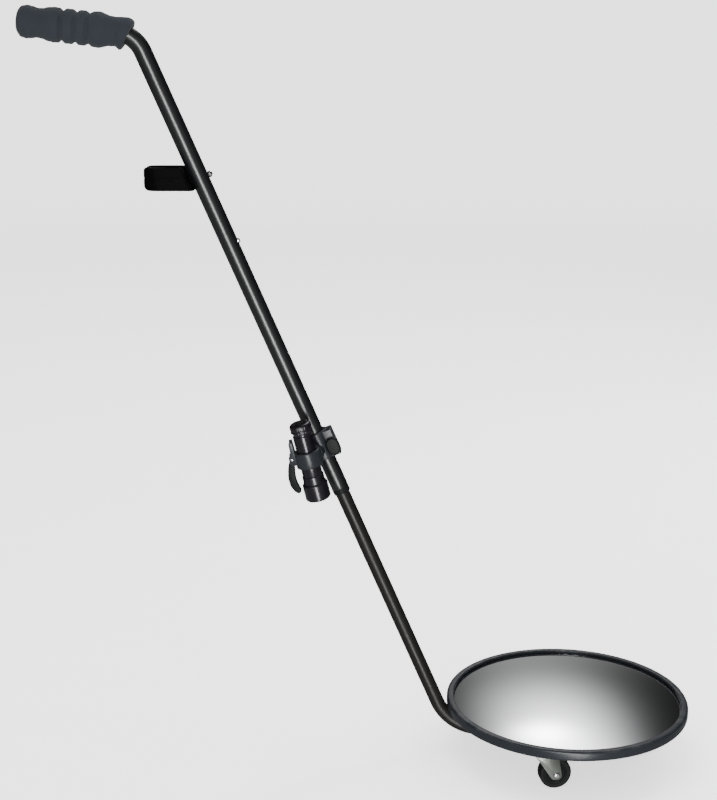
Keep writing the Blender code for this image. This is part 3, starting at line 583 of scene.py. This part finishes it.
# Foam: each ring's radius is profile(s) (1 + small waves round and along)
def gripMesh():
    curve = smoothCurve(gripProfile, int(300 * fine))
    segments = int(128 * fine)
    phi = np.linspace(0, 2 * math.pi, segments, endpoint=False)
    d = grip["start"] - curve[:, 0] * 0.001
    s = upperStation(d)
    wave = np.zeros((len(d), segments))
    for k in range(10):
        f = rng.integers(1, 7)
        g = rng.uniform(20, 160)
        wave += rng.normal() * np.cos(f * phi[None, :] + g * d[:, None] * 6 + rng.uniform(0, 6))
    r = curve[:, 1:2] * 0.001 + 0.00007 * wave
    across = r * np.cos(phi)
    out = np.stack([s[:, 0:1] + across * np.cos(s[:, 2:3]), r * np.sin(phi),
                    s[:, 1:2] + across * np.sin(s[:, 2:3])], -1)
    bore = np.linspace(grip["start"] - grip["length"], upperTotal + 0.0006, 30)
    back = tubeAlong(upperStation(bore), np.full(len(bore), grip["bore"]), segments)
    verts, faces = ringStack(np.concatenate([out, back]))
    return moved(verts, pole), [f[::-1] for f in faces]


foam = piece("foamGrip", *gripMesh(), "foam", "handle", ["foam_grip"], 60)
print("foam grip")

# Hand loop
loop = {"length": 54.7, "depth": 36.0, "half": 14.0, "thick": 3.0, "left": 17.5, "right": 7.0}
loopReach = (upper["radius"] + 0.0004) / math.cos(lean)


# Band round a D-shaped plan, rounded at its rims, with a low rib round the middle
def loopMesh():
    plan = rounded([(loop["length"], loop["depth"] / 2, loop["right"]),
                    (0, loop["depth"] / 2, loop["left"]),
                    (0, -loop["depth"] / 2, loop["left"]),
                    (loop["length"], -loop["depth"] / 2, loop["right"])], 20)
    along = np.roll(plan, -1, 0) - np.roll(plan, 1, 0)
    along /= np.linalg.norm(along, axis=1)[:, None]
    normal = np.stack([along[:, 1], -along[:, 0]], 1)
    half = loop["half"]
    thick = loop["thick"]
    strap = rounded([(0, -half, 1.2), (thick, -half, 1.2), (thick, half, 1.2), (0, half, 1.2)], 4)
    rib = [(0, 2.6), (0, 2.0), (0.35, 1.4), (0.35, -1.4), (0, -2.0), (0, -2.6)]
    section = np.vstack([strap, rib])
    x, y = plan[:, 0:1], plan[:, 1:2]
    off = np.clip(1 - x / 6.5, 0, 1)
    shrink = 1 - (6.2 / half) * (1 - np.sqrt(1 - off**2))
    px = x - normal[:, 0:1] * section[:, 0]
    py = y - normal[:, 1:2] * section[:, 0]
    pz = shrink * section[:, 1]
    shear = -pz * math.tan(lean) * np.clip(px / (loop["length"] - loop["right"]), 0, 1)
    rings = np.stack([px - loop["length"] + shear, py, pz], -1) * 0.001
    verts, faces = ringStack(rings, closed=True)
    return moved(verts, axes(onPole(loopS) - Vector((loopReach, 0, 0)))), faces


loopObj = piece("handLoop", *loopMesh(), "matte_black", "handle", ["hand_loop"])
loopAxis = axes(onPole(loopS), -poleOut, poleUp)
cutBy(loopObj, [((0, 0, 0.008), (0, 0, 1), 0.0024, 0.010)], loopAxis)
print("hand loop")


# Pan head with a cross recess and a shank with rolled thread ridges, seat at Z = 0
def screwMesh(place, headR, headH, shankR, shankL):
    threads = []
    z = -1.2
    while z > -shankL + 0.9:
        threads += [(shankR, z), (shankR - 0.28, z - 0.28), (shankR, z - 0.56)]
        z -= 0.7
    outline = [(0, -shankL), (shankR * 0.6, -shankL)] + threads[::-1]
    outline += [(shankR, 0), (headR, 0, 0.2), (headR, headH * 0.35, 0.5),
                (headR * 0.72, headH * 0.86, 1.5), (headR * 0.4, headH, 1.0), (0, headH)]
    return turned(outline, place, 28, 3)


# Cross recess drawn as painted shade: a dark slab that sinks into the head where the recess would lie in
# shadow
def recessShadeMesh(place, headH, size):
    arm = size * 0.22
    p = [(arm, arm), (arm, size), (-arm, size), (-arm, arm), (-size, arm), (-size, -arm),
         (-arm, -arm), (-arm, -size), (arm, -size), (arm, -arm), (size, -arm), (size, arm)]
    return slab(p, headH - 0.9, headH + 0.03, place, 0.05, 1)


screws = {"loop_screw": (loopAxis @ Matrix.Translation((0, 0, 0.0142)), 4.0, 2.4, 30.2, "handle")}
bracketLow = (-0.0338 + 0.009 + 0.0003) * 1000
for number, x in enumerate((-0.058, -0.002), 1):
    for side, y in enumerate((-0.0155, 0.0155), 1):
        seat = head + Vector((x, y, (bracketLow - 2.5) * 0.001))
        screws[f"saddle_screw_{number}{side}"] = (axes(seat, (0, 0, -1)), 3.6, 2.2, 6.0, "lower_pole")
for number, (x, y) in enumerate(((-0.060, 0.0302), (0.0, -0.0302)), 1):
    at = axes(head + Vector((x, y, -0.003)), (0, 0, -1))
    screws[f"bracket_screw_{number}"] = (at, 3.8, 2.3, 5.6, "lower_pole")

caster = {"circle": 0.122, "angles": (0.0, 111.0, -111.0), "turns": (200.0, 25.0, 8.0),
          "screwX": 0.0165, "trail": 0.015, "drop": 0.036, "cheek": 11.4, "sheet": 1.6}
casters = []
for number, (angle, turn) in enumerate(zip(caster["angles"], caster["turns"]), 1):
    a, t = math.radians(angle), math.radians(turn)
    at = head + Vector((caster["circle"] * math.cos(a), caster["circle"] * math.sin(a), 0))
    casters.append((number, at, Vector((math.cos(t), math.sin(t), 0))))
    for side, x in enumerate((-caster["screwX"], caster["screwX"]), 1):
        seat = at + Vector((x, 0, -0.0025))
        screws[f"plate_screw_{number}{side}"] = (axes(seat, (0, 0, -1)), 3.6, 2.1, 5.0, "lower_pole")
for node, (at, headR, headH, shankL, body) in screws.items():
    solid = screwMesh(at, headR, headH, 2.0, shankL)
    slot = "gloss_black" if node == "loop_screw" else "steel"  # the loop's screw is painted
    piece(node + "Shape", *solid, slot, body, [node])
    # the cross on each head is a dark slab of painted shade for the recess's shadow
    piece(node + "Cross", *recessShadeMesh(at, headH, headR * 0.5), "board", body, [])
print("screws", len(screws))

nutAt = axes(onPole(loopS), poleOut, poleUp)
nutCorners = [(3.9 * math.cos(math.pi / 3 * k), 3.9 * math.sin(math.pi / 3 * k), 0.6)
              for k in range(6)]
nutOutline = rounded(nutCorners, 3)
nut = piece("loopNut", *slab(nutOutline, 11.0, 14.2, nutAt, 0.35), "gloss_black", "handle", ["loop_nut"])
cutBy(nut, [((0, 0, 0.009), (0, 0, 1), 0.0023, 0.008)], nutAt)

piece("guideBush", *turned([(9.3, -6.2, 0.3), (10.7, -6.2, 0.6), (10.7, -0.3, 0.3), (9.3, -0.3, 0.2)],
                           axes(onPole(upper["end"]), poleUp, poleOut), segs),
      "black_plastic", "handle", ["guide_bush"])
piece("snapButton", *turned([(0, 4.8), (4.2, 4.8, 0.2), (4.2, 5.8, 0.2), (3.0, 5.9, 0.1),
                             (3.0, 12.4, 0.9), (1.6, 13.2, 2.0), (0, 13.2)],
                            axes(onPole(upper["button"]), poleOut, poleUp), 48),
      "steel", "button", ["snap_button"])
print("small fittings")

# Mirror head
plateAt = axes(head)
mirror = {"edge": 150.5, "under": 3.4, "thick": 2.5, "sag": 18.0}
rim = {"outer": 155.0, "inner": 146.0, "low": -1.5, "top": 11.0, "lip": 7.4}


# Spherical cap of constant thickness: z = base + sqrt(B^2 - r^2) - (B - sag)
def domeOutline(edge, top, base, sag, steps):
    ball = (edge**2 + sag**2) / (2 * sag)
    r = np.linspace(0, edge, steps)
    z = np.sqrt(ball**2 - r**2) - (ball - sag)
    low = [(a, b + base) for a, b in zip(r, z)]
    up = [(a, b + top) for a, b in zip(r[::-1], z[::-1])]
    return low + up


glass = domeOutline(mirror["edge"], mirror["under"] + mirror["thick"], mirror["under"],
                    mirror["sag"], int(48 * fine))
piece("mirrorGlass", *turned(glass, plateAt, int(192 * fine), 1), "mirror", "lower_pole",
      ["mirror_glass"])
channel = [(rim["inner"] + 1, rim["low"], 0.4), (rim["outer"], rim["low"], 2.6),
           (rim["outer"], rim["top"], 2.9), (rim["inner"], rim["top"], 1.3),
           (rim["inner"], rim["lip"], 0.2), (150.9, rim["lip"]), (150.9, -0.3),
           (rim["inner"] + 1, -0.3, 0.3)]
piece("mirrorRim", *turned(channel, plateAt, int(256 * fine), 6), "slate_plastic", "lower_pole",
      ["mirror_rim"])
print("mirror")

# Casters
forkOutline = [(15.0, -42.0, 5.5), (21.0, -40.5, 5.0), (21.0, -33.0, 6.0), (17.2, -12.0, 4.0),
               (14.6, -6.0, 1.0), (-10.5, -6.0, 1.0), (-12.0, -10.0, 2.0), (-8.0, -15.0, 4.0),
               (9.4, -41.0, 4.5)]
for number, at, trail in casters:
    fixed = axes(at)
    swivel = axes(at, (0, 0, 1), trail)
    outline = rounded([(22, -17, 9), (22, 17, 9), (-22, 17, 9), (-22, -17, 9)], 8)
    plate = slab(outline, -2.3, -0.3, fixed, 0.35)
    boss = turned([(3.4, -5.2, 0.3), (8.6, -5.2, 1.0), (9.4, -3.6, 1.0), (9.4, -1.2), (3.4, -1.2)],
                  fixed, 48)
    obj = piece(f"casterPlate{number}", *join(plate, boss), "zinc", "lower_pole",
                [f"caster_plate_{number}"])
    cutBy(obj, [((0, 0, -0.008), (0, 0, 1), 0.0034, 0.012)]
          + [((way * caster["screwX"], 0, -0.008), (0, 0, 1), 0.0023, 0.012) for way in (-1, 1)],
          fixed)
    crown = turned([(3.4, -8.2, 0.2), (15.4, -8.2, 0.9), (15.4, -5.6, 0.9), (3.4, -5.6, 0.2)],
                   swivel, 64)
    cheeks = []
    side = swivel @ axes((0, 0, 0), (0, -1, 0), (1, 0, 0))
    for y in (caster["cheek"], -caster["cheek"]):
        cheeks.append(slab(rounded(forkOutline, 6), y - caster["sheet"] / 2, y + caster["sheet"] / 2,
                           side, 0.3))
    piece(f"casterFork{number}", *join(crown, *cheeks), "zinc", f"swivel_{number}",
          [f"caster_fork_{number}"])
    hub = swivel @ axes((caster["trail"], 0, -caster["drop"]), (0, 1, 0), (1, 0, 0))
    piece(f"casterAxle{number}", *turned([(0, -14.2), (3.2, -14.2, 1.6), (4.2, -12.6, 0.3),
                                          (2.5, -12.6), (2.5, 12.6), (4.2, 12.6, 0.3),
                                          (3.2, 14.2, 1.6), (0, 14.2)], hub, 36),
          "steel", f"swivel_{number}", [f"caster_axle_{number}"])
    piece(f"casterHub{number}", *turned([(2.9, -9.8, 0.2), (5.6, -9.8, 0.5), (6.2, -6.0, 1.5),
                                         (11.2, -5.0, 1.5), (12.2, -7.4, 0.4), (13.7, -7.4, 0.3),
                                         (13.7, 7.4, 0.3), (12.2, 7.4, 0.4), (11.2, 5.0, 1.5),
                                         (6.2, 6.0, 1.5), (5.6, 9.8, 0.5), (2.9, 9.8, 0.2)], hub, 64),
          "black_plastic", f"wheel_{number}", [f"caster_hub_{number}"])
    piece(f"casterTyre{number}", *turned([(14.0, -7.6, 0.5), (18.6, -8.0, 1.6), (20.0, -5.4, 2.6),
                                          (20.0, -0.5), (19.75, -0.25), (19.75, 0.25), (20.0, 0.5),
                                          (20.0, 5.4, 2.6), (18.6, 8.0, 1.6), (14.0, 7.6, 0.5)],
                                         hub, 96),
          "rubber", f"wheel_{number}", [f"caster_tyre_{number}"])
    piece(f"kingpin{number}", *turned([(0, -10.4), (4.6, -10.4, 0.8), (5.4, -8.5, 0.3), (3.0, -8.5),
                                       (3.0, -0.7, 0.3), (0, -0.7)], fixed, 36),
          "steel", "lower_pole", [f"kingpin_{number}"])
print("casters")

# Torch and holder
torch = {"alongPole": 0.3726, "side": math.radians(25.7), "lean": math.radians(13.0),
         "offset": 0.038, "radius": 12.4, "headRadius": 15.6, "flutes": 30, "fluteDepth": 0.26}
torchFoot = onPole(torch["alongPole"])
offset = -poleOut * math.sin(torch["side"]) + Vector((0, -math.cos(torch["side"]), 0))
offset.normalize()
leanX, leanZ = -math.sin(torch["lean"]), math.cos(torch["lean"])
torchUp = Vector((leanX, -(leanX * offset.x + leanZ * offset.z) / offset.y, leanZ)).normalized()
torchCentre = torchFoot + offset * torch["offset"]
torchAt = axes(torchCentre, torchUp, offset)
clampAt = axes(torchFoot, poleUp, poleOut)
across = axes(torchFoot, offset, poleUp)
torchSegments = int(96 * fine)
radius = torch["radius"]
barrel = [(9.6, -20.0), (radius, -20.0, 0.3), (radius, 11.0, 0.2), (12.1, 11.3, 0.1),
          (12.1, 12.0, 0.1), (radius, 12.3, 0.2), (radius, 33.0, 0.5), (11.2, 34.0, 0.3),
          (11.2, 35.6), (9.6, 35.6)]
piece("torchBarrel", *turned(barrel, torchAt, torchSegments, 3), "anodised", "torch",
      ["torch_barrel"])
radius = torch["headRadius"]
torchHead = [(12.2, -52.0, 0.3), (14.2, -52.0, 1.2), (radius, -50.2, 1.4), (radius, -32.0, 0.7),
             (14.8, -30.6, 0.5), (13.5, -29.4, 0.6), (13.3, -20.3, 0.4), (5.0, -20.3),
             (5.0, -24.0), (12.9, -34.0), (13.4, -34.6), (13.4, -49.4), (12.2, -50.2)]
piece("torchHead", *turned(torchHead, torchAt, torchSegments, 4), "anodised", "torch",
      ["torch_head"])
piece("torchLens", *turned([(0, -49.0), (13.0, -49.0, 0.2), (13.0, -46.8, 0.2), (0, -46.8)],
                           torchAt, 64), "lens", "torch", ["torch_lens"])
piece("torchReflector", *turned([(3.0, -33.2), (6.5, -37.0, 2), (10.0, -42.0, 3), (12.2, -46.4),
                                 (13.0, -46.4), (13.0, -35.4), (3.0, -27.4)], torchAt, 64),
      "chrome", "torch", ["torch_reflector"])
capOutline = rounded([(9.6, 35.9, 0.1), (11.2, 35.9, 0.1), (11.2, 37.0, 0.3), (13.4, 38.0, 0.4),
                      (13.4, 39.8, 0.3), (12.4, 40.4, 0.3), (12.4, 41.2, 0.3), (13.4, 42.0, 0.3),
                      (13.4, 45.8, 1.2), (12.0, 47.9, 1.2), (10.0, 48.4, 0.6), (6.2, 48.4, 0.3),
                      (6.2, 42.0), (9.0, 40.5)], 3)


# Tail cap with shallow grip flutes: r (1 - a max(0, cos 30 t)) on its two collars
def flutedCap():
    segments = int(240 * fine)
    t = np.linspace(0, 2 * math.pi, segments, endpoint=False)
    r = capOutline[:, 0:1]
    z = capOutline[:, 1:2]
    collar = (r > 13.2) * (z > 37.9)
    flute = torch["fluteDepth"] * np.maximum(0, np.cos(torch["flutes"] * t)) * collar
    rr = r - flute
    rings = np.stack([rr * np.cos(t), rr * np.sin(t), np.broadcast_to(z, rr.shape)], -1) * 0.001
    verts, faces = ringStack(rings, closed=True)
    return moved(verts, torchAt), faces


piece("torchTailCap", *flutedCap(), "anodised", "torch", ["torch_tail_cap"], 50)
piece("torchSwitch", *turned([(0, 39.0), (7.6, 39.0, 0.2), (7.6, 40.6, 0.2), (5.8, 41.4, 0.2),
                              (5.8, 49.0, 1.2), (3.0, 50.3, 2.0), (0, 50.4)], torchAt, 48),
      "rubber", "torch_button", ["torch_switch"])
print("torch")

# Holder: a split clamp with its knob, and a split ring with its lever, turning on a pin between them
clamp = {"bore": 11.1, "outer": 15.2, "low": -14.0, "top": 21.0, "slit": 1.05 / 13.0, "lug": 21.2,
         "pad": 9.9, "knobX": 0.0156}
ring = {"bore": 12.75, "outer": 16.4, "low": -7.5, "top": 12.5, "slit": 0.95 / 14.5, "hub": 9.9}
band = [(clamp["bore"], clamp["low"], 0.4), (clamp["outer"], clamp["low"], 1.2),
        (clamp["outer"], clamp["top"], 1.2), (clamp["bore"], clamp["top"], 0.4)]
clampBand = arcBand(band, clamp["slit"], 2 * math.pi - clamp["slit"], clampAt, torchSegments)
lugs = []
for lowY, highY in ((1.0, 7.0), (-15.0, -1.0)):
    lug = rounded([(9.5, lowY, 0.2), (clamp["lug"], lowY, 1.6), (clamp["lug"], highY, 2.4),
                   (9.5, highY, 0.3)], 5)
    lugs.append(slab(lug, clamp["low"] + 0.4, clamp["top"] - 0.4, clampAt, 1.2))
pad = turned([(0, 12.0), (clamp["pad"], 12.0), (clamp["pad"], 19.2, 1.0), (2.8, 19.2, 0.2),
              (2.8, 13.0), (0, 13.0)], across, 48)
piece("tubeClamp", *join(clampBand, *lugs, pad), "slate_plastic", "clamp", ["tube_clamp"])
knobAt = clampAt @ axes((clamp["knobX"], 0, 0), (0, -1, 0), (1, 0, 0))
shaft = turned([(0, -11.5), (2.0, -11.5, 0.5), (2.0, 15.3), (4.6, 15.3, 0.2), (4.6, 17.0), (0, 17.0)],
               knobAt, 40)
wing = slab(rounded([(8.5, -11, 8.0), (8.5, 11, 8.0), (-8.5, 11, 8.0), (-8.5, -11, 8.0)], 12),
            15.7, 22.5, knobAt, 2.4, 6)
piece("clampKnob", *join(shaft, wing), "black_plastic", "knob", ["clamp_knob"])
sideWay = Vector((-1, 0, 0))
sideWay = (sideWay - torchUp * sideWay.dot(torchUp)).normalized()
leverAt = axes(torchCentre, sideWay.cross(torchUp), sideWay)
ringAt = axes(torchCentre, torchUp, sideWay)
band = [(ring["bore"], ring["low"], 0.4), (ring["outer"], ring["low"], 1.2),
        (ring["outer"], ring["top"], 1.2), (ring["bore"], ring["top"], 0.4)]
ringBand = arcBand(band, ring["slit"], 2 * math.pi - ring["slit"], ringAt, torchSegments)
ears = []
for lowZ in (4.4, -7.4):
    ear = rounded([(14.2, -2.0, 0.3), (20.5, -2.0, 1.5), (23.0, 1.0, 2.0), (23.0, 9.0, 2.5),
                   (21.0, 12.0, 1.5), (19.6, 15.0, 2.0), (19.0, 28.0, 1.2), (14.6, 28.0, 0.8),
                   (14.2, 12.0, 0.3)], 4)
    ears.append(slab(ear, lowZ, lowZ + 3.0, leverAt, 0.5))
hub = turned([(2.8, 19.6, 0.2), (ring["hub"], 19.6, 1.0), (ring["hub"], 25.0), (2.8, 25.0)],
             across, 48)
piece("torchRing", *join(ringBand, *ears, hub), "slate_plastic", "ring", ["torch_ring"])
lever = {"pin": (0.0196, 0.0062), "half": 3.9, "hole": 0.0018}
# The lever's middle line and its width there (x, y, width), in millimetres.
leverLine = np.array([(19.6, 6.2, 5.6), (20.8, 1.0, 7.0), (22.8, -5.0, 8.2), (24.6, -13.0, 9.0),
                      (25.4, -20.0, 9.4), (25.0, -27.0, 9.4), (23.2, -33.0, 8.6),
                      (21.6, -36.4, 7.0)])


# Curved lever: an outline at half width each side of a smooth line, with round ends
def leverMesh():
    line = smoothCurve(leverLine, 48)
    xy, width = line[:, :2], line[:, 2:3]
    along = np.gradient(xy, axis=0)
    along /= np.linalg.norm(along, axis=1)[:, None]
    side = np.stack([-along[:, 1], along[:, 0]], 1) * width / 2
    tips = []
    for end, way, half in ((xy[-1], along[-1], side[-1]), (xy[0], -along[0], -side[0])):
        t = np.radians(np.linspace(-75, 75, 11))[:, None]
        tips.append(end + way * np.linalg.norm(half) * np.cos(t) + half * np.sin(t))
    outline = np.vstack([xy - side, tips[0], (xy + side)[::-1], tips[1]])
    return slab(outline, -lever["half"], lever["half"], leverAt, 1.3, 4)


ringLever = piece("ringLever", *leverMesh(), "black_plastic", "lever", ["ring_lever"])
cutBy(ringLever, [((*lever["pin"], -0.010), (0, 0, 1), lever["hole"], 0.020)], leverAt)
pinAt = leverAt @ Matrix.Translation((*lever["pin"], 0))
piece("leverPin", *turned([(0, -7.6), (1.5, -7.6, 0.4), (1.5, 7.6, 0.4), (0, 7.6)], pinAt, 28),
      "steel", "ring", ["lever_pin"])
print("holder")

# CAD pieces that stay
slots = {s["node"]: s["material_slot"] for s in frame["record"]["subparts"]}
for node, obj in frame["nodes"].items():
    mat = mats[slots[node]]
    if not obj.material_slots:
        obj.data.materials.append(mat)
    for entry in obj.material_slots:
        entry.material = mat

# Studio
middle = Vector((0.35, 0, -0.45))
studio = {"radius": 7.0, "cove": 1.6, "height": 9.0, "glow": 1.25, "sky": 1.4}
window = {"x": 0.10, "wide": 0.158, "low": 0.30, "rise": 10.4, "curve": 3.3, "spot": 6.4,
          "aim": (0.062, 0.69, 0.72), "tight": 340.0, "room": 0.24}


def stageMesh(name, rings, mat):
    verts, faces = weld(*ringStack(rings, False, False))
    mesh = bpy.data.meshes.new(name)
    mesh.from_pydata(verts.tolist(), [], faces)
    mesh.materials.append(mat)
    mesh.shade_smooth()
    obj = bpy.data.objects.new(name, mesh)
    bpy.context.scene.collection.objects.link(obj)
    obj.visible_diffuse = False
    obj.visible_transmission = False
    obj.visible_shadow = False
    return obj


# Round floor that curves up into a wall, so that no edge shows from any side
def cove():
    mat = finish("paleFloor", (0.90, 0.90, 0.90), 0, (0.55, 0.65), 60, 0.01, dusty=0.0, vary=0.004,
                 extra={"Emission Color": (1, 1, 1, 1), "Emission Strength": studio["glow"]})
    t = np.linspace(0, math.pi / 2, 17)
    flat = studio["radius"] - studio["cove"]
    r = np.concatenate([[0, 1, 3], flat + studio["cove"] * np.sin(t), [studio["radius"]]])
    z = np.concatenate([[0, 0, 0], studio["cove"] * (1 - np.cos(t)), [studio["height"]]]) + floorZ
    p = np.linspace(0, 2 * math.pi, 96, endpoint=False)
    rings = np.stack([r[:, None] * np.cos(p) + middle.x, r[:, None] * np.sin(p),
                      z[:, None] + 0 * p], -1)
    floor = stageMesh("floor", rings, mat)
    floor.visible_glossy = False
    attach(floor, "lower_pole")  # the casters stay on the floor when the pole is drawn out


def mathNode(tree, operation, *values, node="ShaderNodeMath"):
    made = tree.nodes.new(node)
    made.operation = operation
    for k, value in enumerate(values):
        if isinstance(value, bpy.types.NodeSocket):
            link(tree, value, made.inputs[k])
        else:
            made.inputs[k].default_value = value
    return made.outputs["Value"] if operation == "DOT_PRODUCT" else made.outputs[0]


# What shiny parts reflect, by direction (x, y, z): a tall soft window behind the pole,
# exp(-((x - c) / w)^2) (low + rise z^curve), one bright spot in it, and a dim room elsewhere
def studioWalls():
    k = window
    mat = bpy.data.materials.new("studioWalls")
    mat.use_nodes = True
    tree = mat.node_tree
    n = tree.nodes
    n.clear()
    geo = n.new("ShaderNodeNewGeometry")
    vector = "ShaderNodeVectorMath"
    shift = mathNode(tree, "SUBTRACT", geo.outputs["Position"], middle, node=vector)
    way = mathNode(tree, "NORMALIZE", shift, node=vector)
    split = n.new("ShaderNodeSeparateXYZ")
    link(tree, way, split.inputs[0])
    x, y, z = split.outputs

    def fade(value, dark, pale, strength=1.0):
        ramp = n.new("ShaderNodeMapRange")
        ramp.interpolation_type = "SMOOTHSTEP"
        link(tree, value, ramp.inputs["Value"])
        ramp.inputs["From Min"].default_value = dark
        ramp.inputs["From Max"].default_value = pale
        ramp.inputs["To Max"].default_value = strength
        return ramp.outputs["Result"]

    u = mathNode(tree, "DIVIDE", mathNode(tree, "SUBTRACT", x, k["x"]), k["wide"])
    bell = mathNode(tree, "EXPONENT", mathNode(tree, "MULTIPLY", mathNode(tree, "MULTIPLY", u, u), -1.0))
    rise = mathNode(tree, "POWER", mathNode(tree, "MAXIMUM", z, 0.0), k["curve"])
    tall = mathNode(tree, "MULTIPLY_ADD", rise, k["rise"], k["low"])
    pane = mathNode(tree, "MULTIPLY", mathNode(tree, "MULTIPLY", bell, tall), fade(y, 0.0, 0.4))
    pane = mathNode(tree, "MULTIPLY", pane, fade(z, 0.97, 0.78))
    aim = Vector(k["aim"]).normalized()
    dot = mathNode(tree, "MAXIMUM", mathNode(tree, "DOT_PRODUCT", way, aim, node=vector), 0.0)
    spot = mathNode(tree, "MULTIPLY", mathNode(tree, "POWER", dot, k["tight"]), k["spot"])
    room = mathNode(tree, "MAXIMUM", fade(y, -0.1, -0.6, k["room"]), fade(z, -0.1, -0.5, k["room"]))
    total = mathNode(tree, "ADD", mathNode(tree, "ADD", pane, spot), mathNode(tree, "ADD", room, 0.012))
    glow = n.new("ShaderNodeEmission")
    link(tree, total, glow.inputs["Strength"])
    link(tree, glow.outputs[0], n.new("ShaderNodeOutputMaterial").inputs["Surface"])
    t = np.linspace(0, math.pi, 25)[:, None]
    p = np.linspace(0, 2 * math.pi, 48, endpoint=False)[None, :]
    ball = np.stack([np.sin(t) * np.cos(p), np.sin(t) * np.sin(p), np.cos(t) + 0 * p], -1)
    stageMesh("studioWalls", ball * 12.0 + np.array(middle), mat).visible_camera = False


# Rectangular lamp facing the middle, its long side along tilt; size is (across, along)
def softbox(name, at, size, power, tilt=(0, 0, 1)):
    light = bpy.data.lights.new(name, "AREA")
    light.shape = "RECTANGLE"
    light.size, light.size_y = size
    light.energy = power
    obj = bpy.data.objects.new(name, light)
    obj.matrix_world = axes(Vector(at), Vector(at) - middle, Vector(tilt).cross(Vector(at) - middle))
    bpy.context.scene.collection.objects.link(obj)
    return obj


# A point at an angle from -Y towards -X about the pole's own axis, and a rise along it
def around(angle, rise, distance):
    side = Vector((0, -1, 0)) * math.cos(angle) - poleOut * math.sin(angle)
    return middle + (side + poleUp * rise).normalized() * distance


cove()
studioWalls()
world = bpy.data.worlds.new("studio")
bpy.context.scene.world = world
world.use_nodes = True
world.node_tree.nodes["Background"].inputs["Color"].default_value = (1.0, 1.0, 1.0, 1)
world.node_tree.nodes["Background"].inputs["Strength"].default_value = studio["sky"]
world.cycles_visibility.glossy = False
lamps = {"strip": (around(math.radians(2), -0.10, 2.6), (0.62, 2.8), 115, poleUp),
         "backStrip": (around(math.radians(236), 0.15, 2.8), (0.6, 2.4), 60, poleUp),
         "top": (middle + Vector((-0.4, 0.6, 3.0)), (1.8, 1.8), 60, (0, 1, 0))}
for name, settings in lamps.items():
    softbox(name, *settings).visible_glossy = name == "strip"  # only the strip is mirrored
print("studio")

# Camera
view = {"lens": 65.16, "sensor": 36.0, "place": (-0.2699, -1.7359, 0.8314), "down": 13.74}
camera = bpy.data.objects.new("camera", bpy.data.cameras.new("camera"))
bpy.context.scene.collection.objects.link(camera)
bpy.context.scene.camera = camera
camera.data.lens = view["lens"]
camera.data.sensor_width = view["sensor"]
camera.data.clip_end = 100.0
camera.location = head + Vector(view["place"])
camera.rotation_euler = (math.pi / 2 - math.radians(view["down"]), 0, 0)
print("camera")
